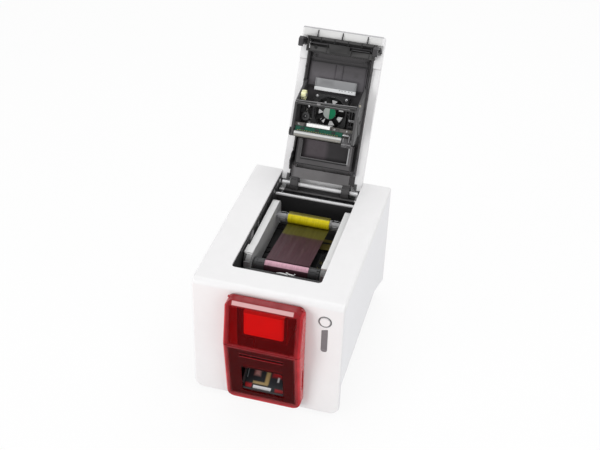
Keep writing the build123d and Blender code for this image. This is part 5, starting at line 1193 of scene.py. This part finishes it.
def rail_trim():
    """Caps, end posts and edges of the cartridge's two rails, and its front bar."""
    low, high = extent("cartridge_frame")
    top, outer, inner = high.z, high.x, 48.5
    p = Piece("cartridge_rail_caps", "cartridge", WORLD, 0.5)
    for side, near, far in ((-1, -48.5, -31.0), (1, -53.5, -38.0)):
        ends = sorted((side * (inner + 0.06), side * (outer + 1.6)))
        p.box(ends, (near, far), (top - 0.6, top + 1.5), "rail_white", 0.6)
        p.box(ends, (near - 0.2, near + 1.4), (top - 7.5, top + 1.3), "rail_white", 0.5)
        flank = sorted((side * (outer - 0.2), side * (outer + 1.6)))
        p.box(flank, (near + 0.4, far - 1.5), (top - 7.0, top + 1.0), "rail_white", 0.5)
    p.done()
    e = Piece("cartridge_rail_edges", "cartridge", WORLD, 0.25)
    for side in (-1, 1):
        ends = sorted((side * (inner - 0.08), side * (inner + 0.5)))
        e.box(ends, (-28, 80), (top - 4.2, top - 3.4), "axle", 0.25)
        e.box(ends, (-28, 84), (144.0, 145.2), "axle", 0.25)
        for y in (-18, 6, 30, 54):
            e.box(ends, (y - 0.5, y + 0.5), (144.5, top - 3.6), "axle", 0.25)
        # the curl at the rear end
        arc = [math.radians(a) for a in range(95, -35, -10)]
        x = side * (inner + 0.35)
        curl = [(x, 81 + 9.6 * math.cos(a), 168 + 9.6 * math.sin(a)) for a in arc]
        e.tube(curl, 0.55, "axle", 8)
        e.ring((x, SUPPLY.y, SUPPLY.z), (1, 0, 0), 8.6, 0.7, "axle", 40)
        e.ring((x, TAKEUP.y, TAKEUP.z), (1, 0, 0), 10.4, 0.6, "axle", 40)
        # front post below the cap
        post = sorted((side * 50.0, side * 57.6))
        e.box(post, (-60.3, -58.0), (146, 172.5), "midgrey", 0.8)
    e.done()
    b = Piece("cartridge_bar_grip", "cartridge", WORLD, 0.25)
    front, radius = low.y, 19.0
    centre = (-2.0, 168.0 - radius)
    arc = [math.radians(a) for a in range(138, 38, -5)]
    b.tube([(centre[0] + radius * math.cos(a), front + 0.6, centre[1] + 0.6 + radius * math.sin(a)) for a in arc], 1.1, "rail_white", 8)
    b.tube(
        [(centre[0] + (radius - 3) * math.cos(a), front - 0.1, centre[1] + (radius - 3) * math.sin(a)) for a in arc[3:-3]],
        0.4, "axle", 8,
    )
    b.prism([(3.0, 167.0), (13.2, 166.0), (14.2, 168.4), (15.4, 168.2), (14.2, 164.8), (3.0, 165.9)], -62.2, -60.6, "rail_white", "y", 0.2)
    b.prism([(2.6, 167.1), (5.2, 166.8), (5.0, 168.0), (2.6, 168.2)], -62.2, -60.6, "rail_white", "y", 0.2)
    for side in (-1, 1):
        ends = sorted((side * 24.0, side * 47.0))
        b.box(ends, (front - 0.1, front + 0.7), (160.2, 161.2), "grey", 0.3)
        b.box(ends, (front - 0.1, front + 0.7), (152.0, 152.8), "grey", 0.3)
    b.done()


def bay_walls():
    """Bosses, springs and ribs on the chassis around the bay."""
    p = Piece("bay_left_wall_parts", "chassis", WORLD, 0.2)
    wall = -61.8
    p.spring((-60.95, 12, 158), (-60.95, 19, 184), 0.6, 0.24, 18, "zinc")
    p.rod((wall, 12, 157), (-60.2, 12, 157), 1.3, "grey")
    p.rod((wall, 19, 185), (-60.2, 19, 185), 1.3, "grey")
    p.prism([(-14, 172), (-8, 178), (-5, 186), (-9, 187), (-17, 178), (-18, 172)], wall, -60.0, "midgrey", "x", 0.4)
    p.ring((wall + 0.4, -24, 180), (1, 0, 0), 3.0, 0.6, "grey")
    p.box((wall, -60.8), (-60, -26), (186.5, 188), "grey", 0.3)
    p.box((wall, -60.7), (30, 108), (187.5, 188.6), "grey", 0.3)
    for y in (42, 66, 90):
        p.box((wall, -60.9), (y - 0.6, y + 0.6), (160, 188), "dark", 0.3)
    p.turned((wall, 100, 183), (1, 0, 0), [(0, 2.6), (0.8, 2.6), (1.1, 2.2), (1.1, 0.8)], "zinc")
    p.turned((wall, 117, 184), (1, 0, 0), [(0, 3.4), (0.7, 3.4), (1.0, 2.9), (1.0, 1.2)], "midgrey")
    p.done()
    r = Piece("bay_right_wall_parts", "chassis", WORLD, 0.2)
    for y in (-60, -20, 24, 68, 100):
        r.box((60.9, 61.8), (y - 0.6, y + 0.6), (150, 188), "dark", 0.3)
    r.box((60.8, 61.8), (-80, 112), (187.5, 188.6), "grey", 0.3)
    r.ring((61.5, 100, 183), (1, 0, 0), 3.0, 0.6, "grey")
    r.done()
    b = Piece("rear_bridge_ribs", "chassis", WORLD, 0.25)
    low, high = extent("rear_bridge")
    for y, z, look in ((117.6, 168.0, "grey"), (120.5, 168.0, "dark"), (133.5, 168.0, "grey")):
        b.box((low.x + 3, high.x - 3), (y - 0.5, y + 0.5), (z - 0.6, z + 1.2), look, 0.3)
    for k in range(9):
        x = -52 + 13 * k
        b.box((x - 0.5, x + 0.5), (117.5, 133.5), (167.5, 168.8), "dark", 0.25)
    for x in (-57.5, 57.5):
        b.screw((x, 126, 168), (0, 0, 1), 2.4, "zinc", 1.2)
        b.ring((x * 1.01, 128.0, 183.0), (1, 0, 0), 4.4, 0.9, "dark")
    b.done()
    f = Piece("feeder_roof_ribs", "chassis", WORLD, 0.25)
    roof = 171.4
    for side in (-1, 1):
        f.box(sorted((side * 33, side * 49)), (-79.0, -78.0), (roof - 0.5, roof + 1.6), "grey", 0.3)
        f.box(sorted((side * 33, side * 49)), (-96.0, -95.0), (roof - 0.5, roof + 1.6), "grey", 0.3)
        f.box(sorted((side * 33, side * 34)), (-95.5, -78.5), (roof - 0.5, roof + 1.3), "dark", 0.3)
        f.box(sorted((side * 41, side * 41.8)), (-95.5, -78.5), (roof - 0.5, roof + 1.0), "dark", 0.3)
    f.done()
    g = Piece("card_path_parts", "chassis", WORLD, 0.2)
    top = 133.4
    for side in (-1, 1):
        for y in (-60, -48, -6, 6, 18, 30, 78, 90, 102):
            g.box(sorted((side * 34, side * 56)), (y - 0.5, y + 0.5), (top - 0.4, top + 1.3), "black", 0.25)
        g.box(sorted((side * 36.5, side * 37.5)), (-64, 108), (top - 0.4, top + 0.9), "dark", 0.3)
        for y in (-62, 95):
            g.screw((side * 52, y, top), (0, 0, 1), 2.2, "zinc", 1.0)
    # painted light: an olive strip standing in for yellow light on the card path
    g.box((18, 46), (66, 73), (top - 0.3, top + 0.25), "olive", 0.15)
    g.box((38.5, 45.5), (-20, -10), (top - 0.4, top + 2.2), "chip", 0.5)
    g.wire([(42, -19, top + 1.5), (46, -26, top + 1.4), (52, -30, top + 1), (60, -30, top + 1)], 0.6, "wire_white")
    g.wire([(43.4, -19, top + 1.5), (47.4, -25, top + 1.4), (53, -28.5, top + 1), (60, -28.5, top + 1)], 0.6, "wire_black")
    g.box((-45.5, -38.5), (20, 28), (top - 0.4, top + 2.2), "chip", 0.5)
    g.done()


film_roll_piece("supply_film_roll", "supply_ribbon", "supply", 6.02, "supply_film")
film_roll_piece("takeup_film_roll", "takeup_ribbon", "takeup", 8.82, "takeup_film")
film_sheet()
spool_trim()
rail_trim()
bay_walls()


# ---------------------------------------------------------------- front pieces
def front_cover_trim():
    """The lip at the split, and a lip along the top of the hopper cover."""
    low, high = extent("feeder_cover", FRONT)
    split = low.y
    p = Piece("feeder_cover_lip", "front_cover", FRONT, 0.3)
    p.box((-39.5, 39.5), (split + 0.15, split + 1.1), (high.z - 2.2, high.z - 0.1), "red_edge", 0.35)
    p.done()
    q = Piece("hopper_cover_lips", "chassis", FRONT, 0.3)
    low, high = extent("hopper_cover", FRONT)
    q.box((-39.5, 39.5), (high.y - 1.0, high.y - 0.15), (high.z - 2.2, high.z - 0.15), "red_edge", 0.3)
    q.done()


def slot_frame():
    """Raised lines above and below the card slot."""
    slope = math.atan2(14.43, 103.7)
    foot_z, foot_v = 13.0, 14.0
    p = Piece("hopper_slot_lines", "chassis", FRONT, 0.12)

    def face(v):
        return foot_z + (v - foot_v) * math.tan(slope)

    for v, half in ((101.0, 30.2), (106.6, 30.2)):
        p.box((-half, half), (v - 0.35, v + 0.35), (face(v) - 1.4, face(v) + 0.12), "red_edge", 0.1)
    p.done()


def feeder_inside():
    """Side guides and floor edges that show through the red cover, and a grip on the pusher."""
    low, high = extent("card_stack")
    p = Piece("feeder_guides", "chassis", WORLD, 0.25)
    front = low.y + 2.5
    for side, look in ((-1, "dark"), (1, "midgrey")):
        p.box(sorted((side * 30.8, side * 31.9)), (front, front + 40), (127, high.z + 1), look, 0.3)
    p.box((-31.5, 31.5), (front + 4, front + 5.2), (122.5, 131.4), "dark", 0.3)
    p.box((-27.5, -26.5), (front + 3, front + 4.2), (121, 131.4), "grey", 0.2)
    p.box((26.5, 27.5), (front + 3, front + 4.2), (121, 131.4), "grey", 0.2)
    p.done()
    low, high = extent("card_pusher")
    q, plate = Piece("pusher_grip", "pusher", WORLD, 0.2), low.z + 2.0
    for k in range(6):
        y = low.y + 6 + 2.2 * k
        q.box((-14, 14), (y - 0.4, y + 0.4), (plate - 0.2, plate + 0.45), "grey", 0.15)
    q.done()


def control_trim():
    """Double ring round the button, its dished face, and the light bar's bezel."""
    low, high = extent("control_button", FRONT)
    centre = (low + high) / 2
    p = Piece("control_button_ring_bright", "chassis", FRONT, 0)
    p.ring((centre.x, centre.y, 0.35), (0, 0, 1), 8.1, 0.5, "midgrey", 64, 12)
    p.ring((centre.x, centre.y, 0.2), (0, 0, 1), 8.75, 0.22, "ring", 64, 10)
    p.done()
    b = Piece("control_button_cap", "button", FRONT, 0)
    dish = [(0.0, 6.9), (0.55, 6.9), (0.75, 6.6), (0.7, 6.0), (0.5, 4.6), (0.36, 2.6), (0.3, 0.8)]
    b.turned((centre.x, centre.y, high.z - 0.5), (0, 0, 1), dish, "white_front", 48)
    b.ring((centre.x, centre.y, high.z - 0.05), (0, 0, 1), 6.5, 0.3, "midgrey", 64, 8)
    b.done()
    low, high = extent("status_light", FRONT)
    r = Piece("status_light_bezel", "chassis", FRONT, 0)
    middle = (low.x + high.x) / 2
    outline = [(low.x, low.y + 3.4)]
    for k in range(1, 6):
        a = math.pi + math.pi / 2 * k / 6
        outline.append((low.x + 3.4 + 3.4 * math.cos(a), low.y + 3.4 + 3.4 * math.sin(a)))
    for k in range(1, 7):
        a = 1.5 * math.pi + math.pi / 2 * k / 6
        outline.append((high.x - 3.4 + 3.4 * math.cos(a), low.y + 3.4 + 3.4 * math.sin(a)))
    outline += [(high.x, high.y - 0.4), (low.x, high.y - 2.6), (low.x, low.y + 3.4)]
    r.tube([(u, v, 0.1) for u, v in outline], 0.22, "ring", 8)
    for k in range(3):
        v = low.y + 9 + 11 * k
        r.ring((middle, v, high.z - 0.02), (0, 0, 1), 1.5, 0.12, "light_pipe", 28, 8)
    r.done()


def hopper_parts():
    """Ribs in the hopper's tray."""
    low, high = extent("hopper_tray")
    p = Piece("hopper_tray_ribs", "chassis", WORLD, 0.25)
    for side in (-1, 1):
        p.box(sorted((side * 26.8, side * 28.2)), (low.y + 4, low.y + 60), (high.z - 55, high.z - 54), "dark", 0.3)
    p.done()


for make in (front_cover_trim, slot_frame, feeder_inside, control_trim, hopper_parts):
    make()


# ------------------------------------------------------- back, base and drives
def socket_contacts():
    """What is inside the three sockets at the back."""
    low, high = extent("power_socket")
    middle, mouth = (low + high) / 2, high.y
    p = Piece("power_socket_pin", "chassis", WORLD, 0.1)
    p.ring((middle.x, mouth - 0.2, middle.z), (0, 1, 0), 4.3, 0.5, "gloss", 40)
    p.rod((middle.x, mouth - 10.5, middle.z), (middle.x, mouth - 2.0, middle.z), 1.2, "chrome")
    p.box((middle.x - 5.6, middle.x + 5.6), (mouth - 12.2, mouth - 10.2), (low.z + 1, high.z - 1), "chip", 0.2)
    p.done()
    low, high = extent("usb_socket")
    middle = (low + high) / 2
    u = Piece("usb_socket_tongue", "chassis", WORLD, 0.12)
    u.box((middle.x - 2.8, middle.x + 2.8), (mouth - 11, mouth - 2.2), (middle.z - 1.6, middle.z + 1.6), "cable", 0.3)
    for x in (-1.3, 1.3):
        for z in (-1.65, 1.65):
            u.box((middle.x + x - 0.5, middle.x + x + 0.5), (mouth - 10, mouth - 3), (middle.z + z - 0.15, middle.z + z + 0.15), "gold", 0.03)
    u.done()
    low, high = extent("network_socket")
    middle = (low + high) / 2
    n = Piece("network_socket_contacts", "chassis", WORLD, 0.1)
    n.box((low.x + 1.2, high.x - 1.2), (mouth - 12.5, mouth - 11.0), (low.z + 1.2, high.z - 1.2), "chip", 0.2)
    for k in range(8):
        x = middle.x - 3.57 + 1.02 * k
        n.wire([(x, mouth - 11.2, high.z - 2.2), (x, mouth - 7, high.z - 2.6), (x, mouth - 3.4, high.z - 5.0)], 0.2, "gold", 4)
    for side, look in ((-1, "label_green"), (1, "cream")):
        n.box(sorted((middle.x + side * 5.0, middle.x + side * 6.6)), (mouth - 2.6, mouth - 1.9), (low.z + 1.6, low.z + 3.0), look, 0.2)
    n.done()


def rear_panel_trim():
    """Raised rims round the sockets, and louvres behind the vents."""
    low, high = extent("rear_panel")
    back = high.y
    p = Piece("rear_panel_rims", "chassis", WORLD, 0.15)
    for name in ("power_socket", "usb_socket", "network_socket"):
        a, b = extent(name)
        for x in (a.x - 1.4, b.x + 0.5):
            p.box((x, x + 0.9), (back - 0.3, back + 0.35), (a.z - 1.4, b.z + 1.4), "white", 0.2)
        for z in (a.z - 1.4, b.z + 0.5):
            p.box((a.x - 1.4, b.x + 1.4), (back - 0.3, back + 0.35), (z, z + 0.9), "white", 0.2)
    p.done()
    q = Piece("rear_vent_mesh", "chassis", WORLD, 0.1)
    for k in range(14):
        z = 84 + 4.6 * k
        q.box((-52, 52), (137.2, 137.8), (z, z + 1.1), "dark", 0.15)
    for k in range(12):
        x = -49.5 + 9 * k
        q.box((x - 0.5, x + 0.5), (137.0, 137.6), (82, 148), "dark", 0.15)
    q.done()


def base_trim():
    """Treads under the feet, ribs and screws under the base tray."""
    low, high = extent("rubber_feet")
    tray_low, tray_high = extent("base_tray")
    p = Piece("foot_treads", "chassis", WORLD, 0.1)
    for x in (low.x + 8, high.x - 8):
        for y in (low.y + 8, high.y - 8):
            for radius in (2.4, 4.6, 6.6):
                p.ring((x, y, 0.42), (0, 0, 1), radius, 0.36, "rubber", 36, 8)
    p.done()
    q = Piece("base_tray_ribs", "chassis", WORLD, 0.25)
    floor = tray_low.z
    for k in range(7):
        y = -78 + 27 * k
        q.box((-62, 62), (y - 0.6, y + 0.6), (floor - 0.8, floor + 0.4), "dark", 0.3)
    for x in (-62, 62):
        q.box((x - 0.6, x + 0.6), (-78, 84), (floor - 0.8, floor + 0.4), "dark", 0.3)
    for x in (-60, 60):
        for y in (-100, 104):
            q.turned((x, y, floor + 0.4), (0, 0, -1), [(0, 5.4), (0.9, 5.4), (1.2, 5.0), (1.2, 3.6)], "dark")
            q.screw((x, y, floor - 0.1), (0, 0, -1), 2.8, "zinc", 1.2)
    q.done()


def drives():
    """Motor end caps, gear hubs, leads and the parts on the boards."""
    low, high = extent("drive_motor")
    middle = (low + high) / 2
    p = Piece("drive_motor_trim", "chassis", WORLD, 0.2)
    p.turned((low.x + 0.1, middle.y, middle.z), (-1, 0, 0), [(0, 8.5), (0.8, 8.5), (1.2, 8.0), (1.2, 3.0), (2.2, 2.6)], "motor")
    for y in (-1, 1):
        for z in (-1, 1):
            p.screw((low.x, middle.y + 13.5 * y, middle.z + 13.5 * z), (-1, 0, 0), 1.8, "zinc", 1.0)
    p.box((middle.x - 5, middle.x + 5), (high.y - 0.4, high.y + 3.6), (middle.z - 6, middle.z + 6), "cable", 0.3)
    for k, look in enumerate(("wire_red", "wire_white", "wire_black", "wire_red")):
        z = middle.z - 4.2 + 2.8 * k
        p.wire([(middle.x, high.y + 3.4, z), (middle.x, high.y + 9, z - 3), (middle.x - 3, high.y + 14, z - 30), (20 - 3 * k, high.y + 10, 34), (20 - 3 * k, high.y + 8, 27)], 0.65, look)
    p.done()
    low, high = extent("ribbon_motor")
    middle = (low + high) / 2
    r = Piece("ribbon_motor_trim", "chassis", WORLD, 0.2)
    r.turned((high.x - 0.1, middle.y, middle.z), (1, 0, 0), [(0, 6.0), (0.8, 6.0), (1.1, 5.5), (1.1, 2.0), (1.8, 1.6)], "motor")
    for k, look in enumerate(("wire_red", "wire_black")):
        y = middle.y - 2 + 4 * k
        r.wire([(high.x, y, low.z + 4), (high.x + 3, y + 4, low.z - 4), (high.x - 2, y + 14, 110), (70, y + 10, 60), (60, y, 30)], 0.65, look)
    r.done()
    gear_far = extent("platen_gear")[1].x
    for name, body, sign in (
        ("main_idler", "main_idler", -1),
        ("pick_idler", "pick_idler", -1),
        ("platen_gear", "platen", -1),
        ("transport_gear", "transport", -1),
        ("pick_gear", "pick", -1),
        ("motor_pinion", "pinion", -1),
    ):
        low, high = extent(name)
        middle, radius = (low + high) / 2, (high.z - low.z) / 2
        g = Piece(name + "_hub", body, WORLD, 0.15)
        face = high.x
        bore = min(3.4, radius * 0.5)
        g.ring((face, middle.y, middle.z), (1, 0, 0), bore + 0.7, 0.35, "gear", 28, 8)
        if radius > 12:
            g.ring((face - 0.05, middle.y, middle.z), (1, 0, 0), radius - 4.6, 0.3, "gear", 48, 8)
            for k in range(5):
                a = 2 * math.pi * k / 5
                y, z = middle.y + radius * 0.55 * math.cos(a), middle.z + radius * 0.55 * math.sin(a)
                g.ring((face, y, z), (1, 0, 0), radius * 0.13, 0.25, "gear", 20, 6)
        g.done()
    low, high = extent("main_board")
    b = Piece("main_board_parts", "chassis", WORLD, 0.15)
    top = 15.1
    for x, y, wide, long, tall, look in (
        (-30, -20, 14, 14, 1.4, "chip"),
        (-4, 10, 10, 10, 1.2, "chip"),
        (26, -30, 8, 14, 1.6, "chip"),
        (-36, 30, 12, 6, 6.0, "cable"),
        (8, 50, 20, 5, 6.5, "cable"),
        (34, 30, 6, 18, 6.0, "cable"),
        (-12, -46, 24, 5, 5.0, "cable"),
        (32, 66, 10, 12, 9.0, "chip"),
    ):
        b.box((x, x + wide), (y, y + long), (top - 0.2, top + tall), look, 0.25)
    for x, y, radius, tall in ((-44, -44, 4, 9), (-34, -46, 3, 7), (40, 4, 5, 11), (-46, 62, 4, 9), (-20, 74, 5, 11)):
        b.turned((x, y, top - 0.1), (0, 0, 1), [(0, radius), (tall - 0.5, radius), (tall, radius - 0.5), (tall, radius * 0.4)], "motor", 24)
    for k in range(26):
        x, y = random.uniform(-50, 48), random.uniform(-50, 100)
        b.box((x, x + 2.0), (y, y + 1.2), (top - 0.1, top + 0.7), random.choice(("chip", "cable", "gold")), 0.1)
    b.done()
    low, high = extent("control_board")
    c = Piece("control_board_parts", "chassis", WORLD, 0.1)
    for k in range(5):
        z = low.z + 8 + 9 * k
        c.box((low.x + 5, low.x + 9), (high.y - 0.2, high.y + 1.0), (z, z + 3), "chip", 0.15)
    c.box((high.x - 9, high.x - 3), (high.y - 0.2, high.y + 5.0), (low.z + 4, low.z + 16), "cable", 0.25)
    c.done()


for make in (socket_contacts, rear_panel_trim, base_trim, drives):
    make()

# -------------------------------------------------------------------- staging
camera_data = bpy.data.cameras.new("camera")
camera = bpy.data.objects.new("camera", camera_data)
bpy.context.scene.collection.objects.link(camera)
AZIMUTH, ELEVATION, ROLL = 0.246910, 0.624195, 0.036136
DISTANCE, FOCAL, TARGET = 1.549468, 1136.518, Vector((0.004034, 0, 0.205116))
back = Vector((
    math.sin(AZIMUTH) * math.cos(ELEVATION),
    -math.cos(AZIMUTH) * math.cos(ELEVATION),
    math.sin(ELEVATION),
))
right = (-back).cross(Vector((0, 0, 1))).normalized()
up = right.cross(-back)
c, s = math.cos(ROLL), math.sin(ROLL)
turn = Matrix((c * right + s * up, c * up - s * right, back)).transposed()
camera.matrix_world = Matrix.Translation(TARGET + DISTANCE * back) @ turn.to_4x4()
camera_data.sensor_width = 36.0
camera_data.lens = 36.0 * FOCAL / 600
camera_data.clip_end = 20
bpy.context.scene.camera = camera


def lamp(name, place, aim, size, power):
    data = bpy.data.lights.new(name, "AREA")
    data.shape = "RECTANGLE"
    data.size, data.size_y = size
    data.energy = power
    obj = bpy.data.objects.new(name, data)
    obj.location = place
    obj.rotation_euler = (Vector(aim) - Vector(place)).to_track_quat("-Z", "Y").to_euler()
    bpy.context.scene.collection.objects.link(obj)


lamp("overhead", (0.1, 0.45, 1.7), (0, 0, 0.1), (1.6, 1.6), 14.0)
lamp("key", (-1.2, -1.6, 0.5), (0, -0.1, 0.12), (1.0, 1.0), 16.5)
lamp("fill", (1.5, -1.0, 0.8), (0, 0, 0.12), (1.2, 1.2), 6.4)


def background_rays(tree):
    """Rays that should meet the plain white background: straight, mirrored and seen through."""
    path = tree.nodes.new("ShaderNodeLightPath")
    found = path.outputs["Is Camera Ray"]
    for kind in ("Is Glossy Ray", "Is Transmission Ray"):
        either = tree.nodes.new("ShaderNodeMath")
        either.operation = "MAXIMUM"
        tree.links.new(found, either.inputs[0])
        tree.links.new(path.outputs[kind], either.inputs[1])
        found = either.outputs[0]
    return found


world = bpy.data.worlds.new("world")
bpy.context.scene.world = world
world.use_nodes = True
wt = world.node_tree
wt.nodes.clear()
wout = wt.nodes.new("ShaderNodeOutputWorld")
wmix = wt.nodes.new("ShaderNodeMixShader")
ambient = node(wt, "ShaderNodeBackground", Color=(1, 1, 1, 1), Strength=0.57)
seen = node(wt, "ShaderNodeBackground", Color=(1, 1, 1, 1), Strength=1.0)
wt.links.new(background_rays(wt), wmix.inputs[0])
wt.links.new(ambient.outputs[0], wmix.inputs[1])
wt.links.new(seen.outputs[0], wmix.inputs[2])
wt.links.new(wmix.outputs[0], wout.inputs[0])

floor_mesh = bpy.data.meshes.new("floor")
floor = bpy.data.objects.new("floor", floor_mesh)
bpy.context.scene.collection.objects.link(floor)
bm = bmesh.new()
bmesh.ops.create_grid(bm, x_segments=1, y_segments=1, size=6)
bm.to_mesh(floor_mesh)
bm.free()
fm, ft, fout = new_material("floor_pale")
fdiff = node(ft, "ShaderNodeBsdfDiffuse", Color=(0.9, 0.9, 0.9, 1))
femit = node(ft, "ShaderNodeEmission", Color=(1, 1, 1, 1), Strength=1.0)
fmix = node(ft, "ShaderNodeMixShader")
fshade = node(ft, "ShaderNodeMath")
fshade.operation = "MULTIPLY"
fshade.inputs[1].default_value = 0.9
ft.links.new(background_rays(ft), fshade.inputs[0])
ft.links.new(fshade.outputs[0], fmix.inputs[0])
ft.links.new(fdiff.outputs[0], fmix.inputs[1])
ft.links.new(femit.outputs[0], fmix.inputs[2])
ft.links.new(fmix.outputs[0], fout.inputs[0])
floor_mesh.materials.append(fm)

view = bpy.context.scene.view_settings
view.view_transform = "Standard"
